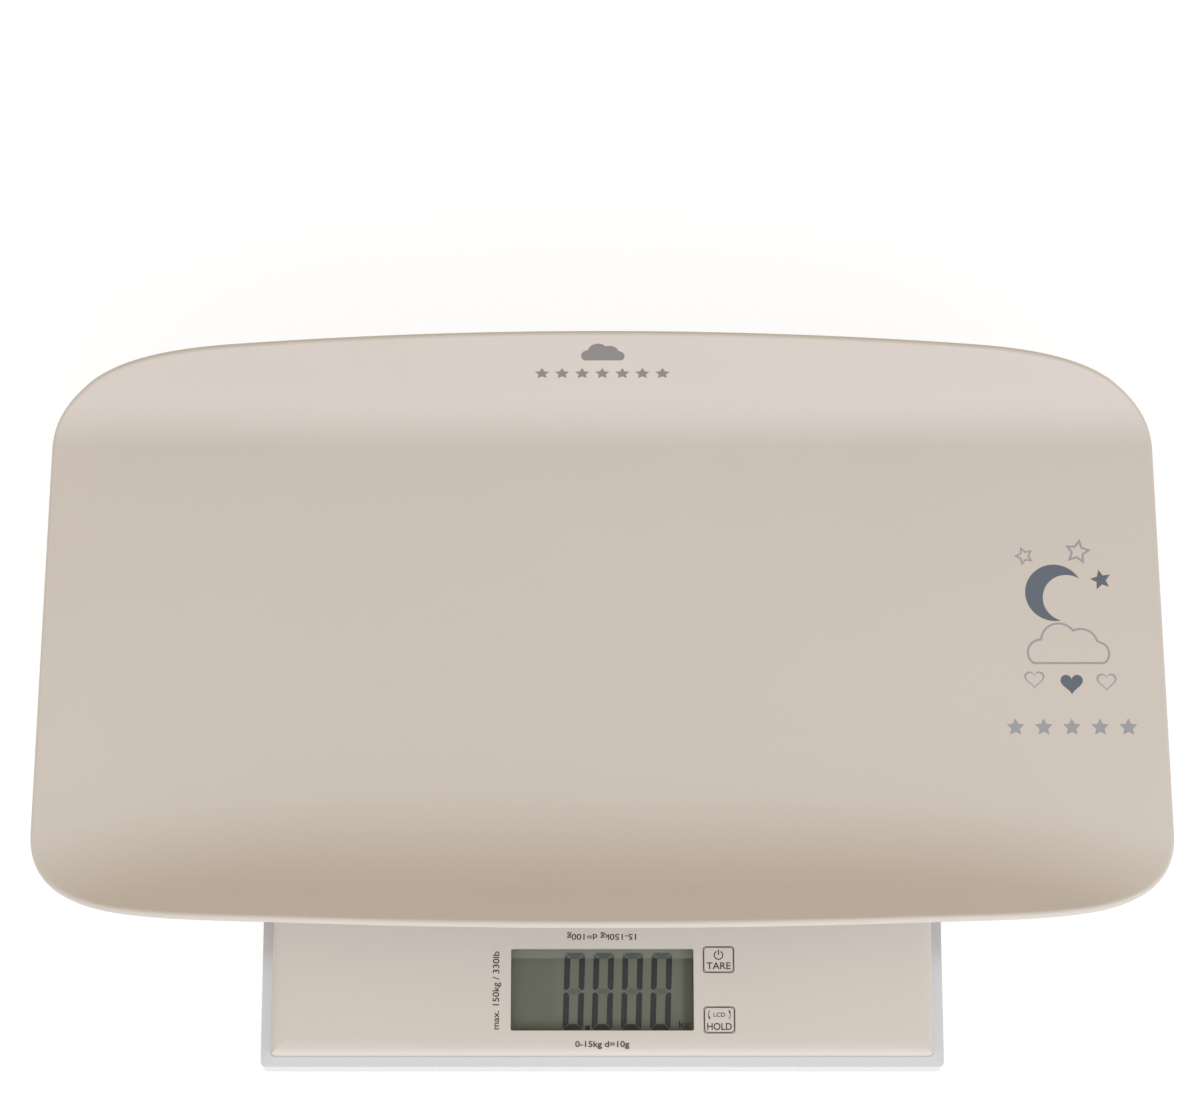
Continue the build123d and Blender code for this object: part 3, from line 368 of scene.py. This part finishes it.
def moulded(name, colour, roughness, grain_size=0.6 * mm, grain_height=0.004 * mm,
            cloud_depth=0.04, shine=0.5):
    """A moulded material: its colour, gloss and grain come from the moulded skin."""
    material, tree, shader = new_material(name)
    skin = group_node(tree, moulded_skin, {
        "Colour": colour, "Roughness": roughness, "Grain Size": grain_size,
        "Cloud Depth": cloud_depth})
    join(tree, skin["Colour"], shader.inputs["Base Color"])
    join(tree, skin["Roughness"], shader.inputs["Roughness"])
    bump = add(tree, "ShaderNodeBump", {"Height": skin["Grain"], "Distance": grain_height})
    join(tree, bump.outputs["Normal"], shader.inputs["Normal"])
    shader.inputs["Specular IOR Level"].default_value = shine
    return material


def metal(name, colour, roughness, streak_width=0.3 * mm):
    """A plain metal, rolled or drawn."""
    material, tree, shader = new_material(name)
    skin = group_node(tree, drawn_metal, {
        "Colour": colour, "Roughness": roughness, "Streak Width": streak_width})
    join(tree, skin["Colour"], shader.inputs["Base Color"])
    join(tree, skin["Roughness"], shader.inputs["Roughness"])
    bump = add(tree, "ShaderNodeBump",
               {"Height": skin["Streaks"], "Distance": metal_streak_height})
    join(tree, bump.outputs["Normal"], shader.inputs["Normal"])
    shader.inputs["Metallic"].default_value = 1.0
    return material


def make_silver_plastic():
    """Silver pigmented gloss plastic with a few faint hairlines."""
    material, tree, shader = new_material("silver_gloss_plastic")
    skin = group_node(tree, moulded_skin, {
        "Colour": paint(214, 214, 215), "Roughness": 0.22, "Grain Size": 0.25 * mm,
        "Cloud Depth": 0.03})
    marks = group_node(tree, hairlines, {"Spacing": 1.2 * mm, "Amount": 0.35})
    marked = blended(tree, marks["Mask"], skin["Colour"], paint(228, 228, 229))
    join(tree, marked, shader.inputs["Base Color"])
    join(tree, skin["Roughness"], shader.inputs["Roughness"])
    bump = add(tree, "ShaderNodeBump", {"Height": skin["Grain"], "Distance": 0.002 * mm})
    join(tree, bump.outputs["Normal"], shader.inputs["Normal"])
    shader.inputs["Metallic"].default_value = 0.35
    return material


def make_clear_lens():
    """Clear acrylic that lets light through to the display below it."""
    material, tree, shader = new_material("clear_acrylic")
    skin = group_node(tree, moulded_skin, {
        "Colour": paint(246, 249, 247), "Roughness": 0.03, "Cloud Depth": 0.01})
    join(tree, skin["Colour"], shader.inputs["Base Color"])
    join(tree, skin["Roughness"], shader.inputs["Roughness"])
    shader.inputs["Transmission Weight"].default_value = 1.0
    shader.inputs["IOR"].default_value = 1.49
    clear = add(tree, "ShaderNodeBsdfTransparent", {"Color": paint(246, 249, 247)})
    path = add(tree, "ShaderNodeLightPath").outputs
    light_ray = math_node(tree, "MAXIMUM", path["Is Shadow Ray"], path["Is Diffuse Ray"])
    passes = math_node(tree, "MAXIMUM", light_ray, lens_clearness)
    mix = add(tree, "ShaderNodeMixShader",
              {0: passes, 1: shader.outputs["BSDF"], 2: clear.outputs["BSDF"]})
    output = tree.nodes["Material Output"]
    join(tree, mix.outputs["Shader"], output.inputs["Surface"])
    return material


def display_painted_light_band(tree, side):
    """0 on the open display, and the strength of the painted light band along this side's edge."""
    low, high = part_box("display_window")
    axis, edge, inward = {"back": ("Y", high.y, -1), "left": ("X", low.x, 1),
                          "right": ("X", high.x, -1), "front": ("Y", low.y, 1)}[side]
    start, full, strength = display_painted_light_bands[side]
    along = add(tree, "ShaderNodeSeparateXYZ", {0: place_on_object(tree)}).outputs[axis]
    return ramp(tree, along, edge + inward * start, edge + inward * full, 0.0, strength)


def make_display_glass():
    """The display's grey-green glass, paler along its back edge with a painted reflection and
    darker along the others with painted shade.
    """
    material, tree, shader = new_material("display_glass")
    skin = group_node(tree, moulded_skin, {
        "Colour": paint(121, 120, 105), "Roughness": 0.3, "Cloud Size": 30 * mm,
        "Cloud Depth": 0.06, "Grain Size": 0.15 * mm})
    colour = skin["Colour"]
    # Painted light in the glass's colour: a paler painted reflection along the back edge, darker
    # painted shade along the left, right and front edges.
    for side, shade in (("left", paint(103, 103, 92)), ("right", paint(88, 88, 73)),
                        ("back", paint(148, 146, 135)), ("front", paint(98, 98, 83))):
        colour = blended(tree, display_painted_light_band(tree, side), colour, shade)
    join(tree, colour, shader.inputs["Base Color"])
    join(tree, skin["Roughness"], shader.inputs["Roughness"])
    shader.inputs["Specular IOR Level"].default_value = 0.1
    return material


def make_segment_ink(name, colour, painted_reflection_colour):
    """A display segment: an even film, paler in a painted reflection along the glass's back edge.
    """
    material, tree, shader = new_material(name)
    film = group_node(tree, moulded_skin, {
        "Colour": colour, "Roughness": 0.5, "Cloud Depth": 0.04})
    painted_reflection = display_painted_light_band(tree, "back")
    join(tree, blended(tree, painted_reflection, film["Colour"], painted_reflection_colour), shader.inputs["Base Color"])
    join(tree, film["Roughness"], shader.inputs["Roughness"])
    shader.inputs["Specular IOR Level"].default_value = 0.1
    return material


def make_board_laminate():
    """Green solder mask over copper tracks."""
    material, tree, shader = new_material("board_laminate")
    skin = group_node(tree, moulded_skin, {
        "Colour": paint(24, 96, 52), "Roughness": 0.3, "Cloud Size": 12 * mm,
        "Cloud Depth": 0.15, "Grain Size": 0.3 * mm})
    tracks = add(tree, "ShaderNodeTexVoronoi",
                 {"Vector": place_on_object(tree), "Scale": board_track_density},
                 distance="MANHATTAN", feature="DISTANCE_TO_EDGE").outputs["Distance"]
    line = ramp(tree, tracks, *board_track_edges, 1.0, 0.0)
    colour = blended(tree, math_node(tree, "MULTIPLY", line, 0.6), skin["Colour"],
                     paint(66, 138, 84))
    join(tree, colour, shader.inputs["Base Color"])
    join(tree, skin["Roughness"], shader.inputs["Roughness"])
    bump = add(tree, "ShaderNodeBump", {"Height": line, "Distance": board_track_height})
    join(tree, bump.outputs["Normal"], shader.inputs["Normal"])
    return material


def make_cell_jacket(node):
    """A plain printed cell: a dark can with a copper-coloured band at its nub end."""
    low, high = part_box(node)
    material, tree, shader = new_material(node + "_jacket")
    skin = group_node(tree, moulded_skin, {
        "Colour": paint(58, 61, 66), "Roughness": 0.28, "Cloud Depth": 0.06})
    along = add(tree, "ShaderNodeSeparateXYZ", {0: place_on_object(tree)}).outputs["Y"]
    nub_at_back = node.endswith("2")
    edge = high.y - cell_band_length if nub_at_back else low.y + cell_band_length
    rise = cell_band_blur if nub_at_back else -cell_band_blur
    band = ramp(tree, along, edge, edge + rise)
    colour = blended(tree, band, skin["Colour"], paint(176, 120, 74))
    join(tree, colour, shader.inputs["Base Color"])
    join(tree, skin["Roughness"], shader.inputs["Roughness"])
    shader.inputs["Metallic"].default_value = 0.6
    return material


cream_tray = moulded("cream_tray_plastic", paint(209, 200, 190), 0.58, shine=0.25)
cream_cover = moulded("cream_cover_plastic", paint(214, 206, 195), 0.45, shine=0.25)
silver_plastic = make_silver_plastic()
white_plastic = moulded("white_plastic", paint(226, 226, 224), 0.45)
black_plastic = moulded("black_plastic", paint(38, 38, 40), 0.5, grain_height=0.02 * mm)
grey_rubber = moulded("grey_rubber", paint(92, 92, 95), 0.75, grain_size=0.8 * mm,
                      grain_height=0.05 * mm, cloud_depth=0.12)
contact_rubber = moulded("contact_rubber", paint(206, 150, 160), 0.6, grain_size=0.3 * mm,
                         grain_height=0.02 * mm)
seal_rubber = moulded("gauge_sealant", paint(228, 228, 222), 0.4, grain_size=1.5 * mm,
                      grain_height=0.1 * mm)
red_lead = moulded("red_lead", paint(168, 34, 34), 0.4)
black_lead = moulded("black_lead", paint(34, 34, 36), 0.4)
white_lead = moulded("white_lead", paint(222, 222, 218), 0.4)
steel = metal("ground_steel", paint(178, 178, 180), 0.3)
screw_steel = metal("zinc_plated_steel", paint(170, 171, 176), 0.32, streak_width=0.2 * mm)
spring_steel = metal("nickel_plated_steel", paint(196, 194, 186), 0.22)
clear_lens = make_clear_lens()
display_glass = make_display_glass()
board_laminate = make_board_laminate()

slot_materials = {
    "tray_plastic": cream_tray,
    "cover_plastic": cream_cover,
    "silver_plastic": silver_plastic,
    "white_plastic": white_plastic,
    "black_plastic": black_plastic,
    "soft_rubber": grey_rubber,
    "contact_rubber": contact_rubber,
    "gauge_seal": seal_rubber,
    "clear_lens": clear_lens,
    "lcd_glass": display_glass,
    "board_laminate": board_laminate,
    "contact_metal": spring_steel,
    "cell_steel": steel,
    "screw_steel": screw_steel,
    "red_lead": red_lead,
    "black_lead": black_lead,
    "white_lead": white_lead,
}
for part in frame["record"]["subparts"]:
    node = part["node"]
    slot = part["material_slot"]
    finish = slot_materials.get(slot) or make_cell_jacket(node)
    for holder in nodes[node].material_slots:
        holder.material = finish


# ---- Inks --------------------------------------------------------------------------------------
def ink(name, colour):
    """Screen-printed ink: a little uneven, with a finer grain than the plastic under it."""
    return moulded(name, colour, 0.5, grain_size=0.12 * mm, grain_height=0.01 * mm,
                   cloud_depth=0.12)


legend_ink = ink("legend_ink", paint(52, 41, 36))
# Each segment ink's second colour is its painted reflection along the glass's back edge.
segment_ink = make_segment_ink("segment_ink", paint(54, 54, 56), paint(104, 105, 104))
idle_ink = make_segment_ink("idle_segment_ink", paint(106, 105, 91), paint(148, 146, 135))
slate_ink = ink("slate_ink", paint(92, 100, 110))
outline_ink = ink("outline_ink", paint(156, 156, 158))
wall_ink = ink("wall_ink", paint(134, 129, 126))


# ---- Flat printed shapes -----------------------------------------------------------------------
def filled_mesh(name, data):
    """The solid mesh of some curve or text data."""
    source = bpy.data.objects.new(name + "_outline", data)
    scene.collection.objects.link(source)
    depsgraph = bpy.context.evaluated_depsgraph_get()
    mesh = bpy.data.meshes.new_from_object(source.evaluated_get(depsgraph))
    bpy.data.objects.remove(source)
    return mesh


def lay_print(name, mesh, place, material, body):
    """Puts a printed mesh at its place and lets it ride on a body."""
    mesh.transform(place)
    mesh.materials.clear()
    mesh.materials.append(material)
    piece = bpy.data.objects.new(name, mesh)
    scene.collection.objects.link(piece)
    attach(piece, body)


def print_shapes(name, loops, place, material, body):
    """A thin printed solid bounded by closed loops of points; inner loops are left out."""
    curve = bpy.data.curves.new(name, "CURVE")
    curve.dimensions = "2D"
    curve.fill_mode = "BOTH"
    curve.extrude = ink_thickness / 2
    for loop in loops:
        spline = curve.splines.new("POLY")
        spline.points.add(len(loop) - 1)
        for point, (x, y) in zip(spline.points, loop):
            point.co = (x, y, 0, 1)
        spline.use_cyclic_u = True
    lay_print(name, filled_mesh(name, curve), place, material, body)


def print_words(name, words, width, height, place, material, body):
    """Words whose capitals are this high, drawn out to this width."""
    text = bpy.data.curves.new(name, "FONT")
    text.body = words
    text.offset = letter_swell
    # One unit thick here: the stretch below brings it to the ink's thickness.
    text.extrude = 0.5
    mesh = filled_mesh(name, text)
    across = [vertex.co.x for vertex in mesh.vertices]
    up = [vertex.co.y for vertex in mesh.vertices]
    middle = Vector(((min(across) + max(across)) / 2, (min(up) + max(up)) / 2, 0))
    stretch = Matrix.Diagonal((width / (max(across) - min(across)), height / cap_height_share,
                               ink_thickness, 1))
    lay_print(name, mesh, place @ stretch @ Matrix.Translation(-middle), material, body)


def on_top(x, y, z, turn=0.0):
    """A place on a level surface, its printing turned by this many degrees."""
    lift = z + ink_thickness / 2
    return Matrix.Translation((x, y, lift)) @ Matrix.Rotation(math.radians(turn), 4, "Z")


def arc(x, y, radius, start, end, steps=curve_steps):
    """Points along an arc, angles in degrees."""
    points = []
    for step in range(steps + 1):
        angle = math.radians(start + (end - start) * step / steps)
        points.append((x + radius * math.cos(angle), y + radius * math.sin(angle)))
    return points


def rounded_box(half_width, half_height, corner):
    """A closed loop round a box with rounded corners."""
    loop = []
    quarters = [(1, 1, 0), (-1, 1, 90), (-1, -1, 180), (1, -1, 270)]
    for side_x, side_y, start in quarters:
        loop += arc(side_x * (half_width - corner), side_y * (half_height - corner), corner,
                    start, start + 90, corner_steps)
    return loop


def moved(loop, x, y, size=1.0, turn=0.0):
    """A loop scaled, turned and moved."""
    cosine = math.cos(math.radians(turn))
    sine = math.sin(math.radians(turn))
    return [(x + size * (px * cosine - py * sine), y + size * (px * sine + py * cosine))
            for px, py in loop]


# ---- Key legends -------------------------------------------------------------------------------
def key_top(key):
    """The middle of a key's top."""
    low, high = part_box(key)
    return (low.x + high.x) / 2, (low.y + high.y) / 2, high.z


def key_frame(key):
    """The printed line round a key's cap."""
    low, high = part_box(key)
    x, y, z = key_top(key)
    half_width = (high.x - low.x) / 2 - key_cap_inset - key_line_inset
    half_height = (high.y - low.y) / 2 - key_cap_inset - key_line_inset
    outer = rounded_box(half_width, half_height, key_line_corner)
    inner = rounded_box(half_width - key_line, half_height - key_line,
                        key_line_corner - key_line)
    print_shapes(key + "_frame", [outer, inner], on_top(x, y, z), legend_ink, key_bodies[key])


def key_word(name):
    """One of the words on the keys."""
    key, words, width, height, up = key_words[name]
    x, y, z = key_top(key)
    print_words(name, words, width, height, on_top(x, y + up, z), legend_ink, key_bodies[key])


def tare_legend():
    """The power sign over the word on the upper key."""
    x, y, z = key_top("key_tare")
    start = 90 + power_opening
    end = 450 - power_opening
    ring = (arc(0, power_y, power_radius, start, end)
            + arc(0, power_y, power_radius - power_line, end, start))
    half = power_line / 2
    low, high = (power_y + reach for reach in power_bar)
    bar = [(-half, low), (half, low), (half, high), (-half, high)]
    print_shapes("key_tare_sign", [ring, bar], on_top(x, y, z), legend_ink,
                 key_bodies["key_tare"])
    key_word("key_tare_word")


def curved_arrow(side):
    """An arrow bent round the small word, on its left (-1) or right (1), its tip further round."""
    inner = arrow_radius - arrow_line
    neck = arrow_reach - arrow_head
    tip = (arrow_radius - arrow_line / 2, arrow_reach + arrow_tip)
    outline = arc(0, 0, arrow_radius, -arrow_reach, neck, corner_steps)
    for radius, angle in ((arrow_radius + arrow_barb, neck), tip, (inner - arrow_barb, neck)):
        turn = math.radians(angle)
        outline.append((radius * math.cos(turn), radius * math.sin(turn)))
    outline += arc(0, 0, inner, neck, -arrow_reach, corner_steps)
    return moved(outline, 0, arrow_y, 1.0, 0 if side > 0 else 180)


def hold_legend():
    """Two curved arrows round the small word, over the word on the lower key."""
    x, y, z = key_top("key_hold")
    arrows = [curved_arrow(side) for side in (-1, 1)]
    print_shapes("key_hold_arrows", arrows, on_top(x, y, z), legend_ink, key_bodies["key_hold"])
    key_word("key_hold_small_word")
    key_word("key_hold_word")


for key_name in key_bodies:
    key_frame(key_name)
tare_legend()
hold_legend()


# ---- Labels round the window -------------------------------------------------------------------
window_low, window_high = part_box("display_window")
window_x = (window_low.x + window_high.x) / 2
window_y = (window_low.y + window_high.y) / 2
cover_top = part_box("platform_cover")[1].z


def range_label(name):
    """One of the labels round the window."""
    words, width, height, x, y, turn = range_labels[name]
    place = on_top(window_x + x, window_y + y, cover_top, turn)
    print_words(name, words, width, height, place, legend_ink, "base")


for label_name in range_labels:
    range_label(label_name)


# ---- Display digits ----------------------------------------------------------------------------
def leaning(loop, x, y):
    """A digit's loop with its lean, moved to its place in the window."""
    return [(window_x + x + px + py * digit_lean, window_y + y + py) for px, py in loop]


def side_segment(side, end):
    """An upright segment: mitred at the digit's end, its outer corner cut, its middle pointed."""
    left = -digit_half_width
    right = left + digit_stroke
    top = digit_half_height
    corner = (digit_corner - mitre_gap) / 2
    loop = [(left, top - digit_corner), (left + corner, top - digit_corner + corner),
            (right, top - digit_stroke - mitre_gap), (right, digit_stroke / 2 + digit_gap),
            (left + digit_stroke / 2, digit_gap), (left, digit_stroke / 4 + digit_gap)]
    return [(side * px, end * py) for px, py in loop]


def end_segment(end):
    """The level segment at the digit's top or bottom, its outer corners cut."""
    side = -digit_half_width
    top = digit_half_height
    corner = (digit_corner + mitre_gap) / 2
    left = [(side + digit_stroke + mitre_gap, top - digit_stroke),
            (side + corner, top - digit_corner + corner), (side + digit_corner, top)]
    loop = left + [(-px, py) for px, py in reversed(left)]
    return [(px, end * py) for px, py in loop]


def middle_segment():
    """The level segment across the digit's middle, unlit in a nought."""
    half = digit_stroke / 2
    reach = digit_half_width - half - digit_gap
    return [(-reach, 0), (half - reach, half), (reach - half, half), (reach, 0),
            (reach - half, -half), (half - reach, -half)]


def make_digits():
    """Four noughts, the decimal point and the unit, on the display's glass."""
    lit = []
    idle = []
    for number in range(digit_count):
        x = digit_first_x + number * digit_pitch
        for end in (-1, 1):
            lit.append(leaning(end_segment(end), x, digit_y))
            for side in (-1, 1):
                lit.append(leaning(side_segment(side, end), x, digit_y))
        idle.append(leaning(middle_segment(), x, digit_y))
    half = point_size / 2
    lit.append([(window_x + point_place[0] + sx * half, window_y + point_place[1] + sy * half)
                for sx, sy in ((-1, -1), (1, -1), (1, 1), (-1, 1))])
    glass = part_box("lcd_panel")[1].z
    print_shapes("display_segments", lit, on_top(0, 0, glass), segment_ink, "base")
    print_shapes("display_idle_segments", idle, on_top(0, 0, glass), idle_ink, "base")
    print_words("display_unit", "kg", unit_width, unit_height,
                on_top(window_x + unit_place[0], window_y + unit_place[1], glass), segment_ink,
                "base")


make_digits()


# ---- Motifs on the tray ------------------------------------------------------------------------
def star(waist):
    """A star's loop, one point up, in a circle of radius 1."""
    loop = []
    for step in range(2 * star_points):
        radius = 1.0 if step % 2 == 0 else waist
        angle = math.radians(90 + 180 * step / star_points)
        loop.append((radius * math.cos(angle), radius * math.sin(angle)))
    return loop


def heart():
    """A heart's loop about its middle, 1 wide."""
    loop = []
    for step in range(curve_steps):
        turn = 2 * math.pi * step / curve_steps
        across = 16 * math.sin(turn) ** 3
        up = (13 * math.cos(turn) - 5 * math.cos(2 * turn) - 2 * math.cos(3 * turn)
              - math.cos(4 * turn))
        loop.append((-across / 32, (up + 2) / 32))
    return loop


def crescent():
    """A crescent moon, open to the right: a disc of radius 1 less a smaller one beside it."""
    bite = crescent_bite
    offset = crescent_offset
    reach = (1 - bite ** 2 + offset ** 2) / (2 * offset)
    outer_angle = math.degrees(math.acos(reach))
    inner_angle = math.degrees(math.acos((reach - offset) / bite))
    return (arc(0, 0, 1.0, outer_angle, 360 - outer_angle)
            + arc(offset, 0, bite, 360 - inner_angle, inner_angle))


def cloud(puffs, base):
    """The outline round some overlapping discs, cut level below."""
    loop = []
    steps = 2 * curve_steps
    for step in range(steps):
        angle = 2 * math.pi * step / steps
        along = Vector((math.cos(angle), math.sin(angle)))
        reach = 0.0
        for x, y, radius in puffs:
            middle = Vector((x, y))
            ahead = along.dot(middle)
            inside = radius ** 2 - (middle.length_squared - ahead ** 2)
            if inside > 0:
                reach = max(reach, ahead + math.sqrt(inside))
        if along.y < 0:
            reach = min(reach, base / -along.y)
        loop.append((along.x * reach, along.y * reach))
    return loop


def heart_line(x, y, size, width):
    """A heart drawn as a line: its inner loop is a smaller heart."""
    return [moved(heart(), x, y, size), moved(heart(), x, y, size - 2 * width)]


def star_line(x, y, radius, turn, width):
    """A star drawn as a line: its inner loop is the same star, a line's width smaller."""
    tip = math.pi / star_points
    middle = (radius * star_waist * math.sin(tip)
              / math.sqrt(1 + star_waist ** 2 - 2 * star_waist * math.cos(tip)))
    return [moved(star(star_waist), x, y, radius, turn),
            moved(star(star_waist), x, y, radius * (1 - width / middle), turn)]


def cloud_line(x, y, size, width):
    """A cloud drawn as a line: its inner loop runs round smaller puffs."""
    loops = []
    for less in (0.0, width / size):
        puffs = [(px, py, radius - less) for px, py, radius in cloud_puffs]
        loops.append(moved(cloud(puffs, cloud_base - less), x, y, size))
    return loops


def star_row(count, pitch, y, size):
    """A level row of small filled stars about the motif's middle."""
    return [moved(star(star_waist), (step - (count - 1) / 2) * pitch, y, size)
            for step in range(count)]


def floor_motif():
    """Moon, stars, a cloud and hearts at the right end of the tray's floor."""
    mounts = {mount["name"]: mount for mount in frame["record"]["mounts"]}
    place = on_top(motif_x, 0, mounts["tray_floor"]["pos_m"][2])
    filled = [moved(crescent(), *bold_moon), moved(heart(), *bold_heart),
              moved(star(bold_star_waist), *bold_star)]
    drawn = cloud_line(*line_cloud, motif_line)
    drawn += star_line(*large_line_star, motif_line)
    drawn += star_line(*small_line_star, 0.8 * motif_line)
    for line_heart in line_hearts:
        drawn += heart_line(*line_heart, 0.9 * motif_line)
    drawn += star_row(*floor_star_row)
    print_shapes("motif_slate", filled, place, slate_ink, "tray")
    print_shapes("motif_grey", drawn, place, outline_ink, "tray")


def wall_motif():
    """A cloud over a row of small stars, on the middle of the rear wall."""
    slope = math.radians(back_wall_slope)
    lift = Vector((0, -math.sin(slope), math.cos(slope))) * ink_thickness / 2
    middle = Vector(back_wall_middle) + lift
    place = Matrix.Translation(middle) @ Matrix.Rotation(slope, 4, "X")
    loops = [moved(cloud(cloud_puffs, cloud_base), *wall_cloud)] + star_row(*wall_star_row)
    print_shapes("motif_wall", loops, place, wall_ink, "tray")


floor_motif()
wall_motif()


# ---- Studio ------------------------------------------------------------------------------------
def white_to_eye(tree):
    """1 for what the camera sees directly, in gloss or through the lens; 0 for other light."""
    path = add(tree, "ShaderNodeLightPath").outputs
    seen = math_node(tree, "MAXIMUM", path["Is Camera Ray"], path["Is Glossy Ray"])
    return math_node(tree, "MAXIMUM", seen, path["Is Transmission Ray"])


def make_world():
    """A white surround to the eye, and an even, weaker light on the object."""
    world = bpy.data.worlds.new("studio_surround")
    scene.world = world
    world.use_nodes = True
    tree = world.node_tree
    tree.nodes.clear()
    seen = add(tree, "ShaderNodeBackground", {"Color": (1, 1, 1, 1), "Strength": 1.0})
    cast = add(tree, "ShaderNodeBackground",
               {"Color": ambient_colour, "Strength": ambient_level})
    mix = add(tree, "ShaderNodeMixShader",
              {0: white_to_eye(tree), 1: cast.outputs[0], 2: seen.outputs[0]})
    output = add(tree, "ShaderNodeOutputWorld")
    join(tree, mix.outputs[0], output.inputs["Surface"])


def make_floor():
    """A wide white floor that keeps the object's soft shadow and fades to pure white."""
    reach = floor_reach
    level = -floor_drop
    mesh = bpy.data.meshes.new("studio_floor")
    mesh.from_pydata([(-reach, -reach, level), (reach, -reach, level), (reach, reach, level),
                      (-reach, reach, level)], [], [(0, 1, 2, 3)])
    material = bpy.data.materials.new("floor_paper")
    material.use_nodes = True
    tree = material.node_tree
    tree.nodes.clear()
    paper = add(tree, "ShaderNodeBsdfDiffuse",
                {"Color": paint(paper_level, paper_level, paper_level)})
    dimmed = add(tree, "ShaderNodeBsdfDiffuse",
                 {"Color": (paper_shade, paper_shade, paper_shade, 1.0)})
    lit = add(tree, "ShaderNodeEmission", {"Color": (1, 1, 1, 1), "Strength": paper_glow})
    lifted = add(tree, "ShaderNodeAddShader", {0: dimmed.outputs[0], 1: lit.outputs[0]})
    blank = add(tree, "ShaderNodeEmission", {"Color": (1, 1, 1, 1), "Strength": 1.0})
    distance = add(tree, "ShaderNodeVectorMath", {0: place_on_object(tree)},
                   operation="LENGTH").outputs["Value"]
    seen = add(tree, "ShaderNodeMixShader",
               {0: ramp(tree, distance, *floor_fade), 1: lifted.outputs[0],
                2: blank.outputs[0]})
    mix = add(tree, "ShaderNodeMixShader",
              {0: white_to_eye(tree), 1: paper.outputs[0], 2: seen.outputs[0]})
    output = add(tree, "ShaderNodeOutputMaterial")
    join(tree, mix.outputs[0], output.inputs["Surface"])
    mesh.materials.append(material)
    floor = bpy.data.objects.new("studio_floor", mesh)
    scene.collection.objects.link(floor)


def make_light(name, turn, height, size, watts, colour):
    """A soft area light aimed at the object."""
    data = bpy.data.lights.new(name, "AREA")
    data.shape = "RECTANGLE"
    data.size, data.size_y = size
    data.energy = watts
    data.color = colour
    lamp = bpy.data.objects.new(name, data)
    round_object = math.radians(turn)
    above_floor = math.radians(height)
    away = Vector((math.cos(above_floor) * math.cos(round_object),
                   math.cos(above_floor) * math.sin(round_object), math.sin(above_floor)))
    lamp.location = Vector(light_aim) + light_distance * away
    lamp.rotation_euler = (-away).to_track_quat("-Z", "Y").to_euler()
    lamp.visible_camera = False
    scene.collection.objects.link(lamp)


def make_camera():
    """A long lens above the display side, tilted back a little from straight down."""
    data = bpy.data.cameras.new("studio_camera")
    data.lens = camera_lens
    data.clip_start, data.clip_end = camera_clip
    camera = bpy.data.objects.new("studio_camera", data)
    camera.location = camera_place
    camera.rotation_euler = (math.radians(camera_tilt), 0, 0)
    scene.collection.objects.link(camera)
    scene.camera = camera


make_world()
make_floor()
for light_name, light in lights.items():
    make_light(light_name, *light)
make_camera()
scene.view_settings.view_transform = "Standard"
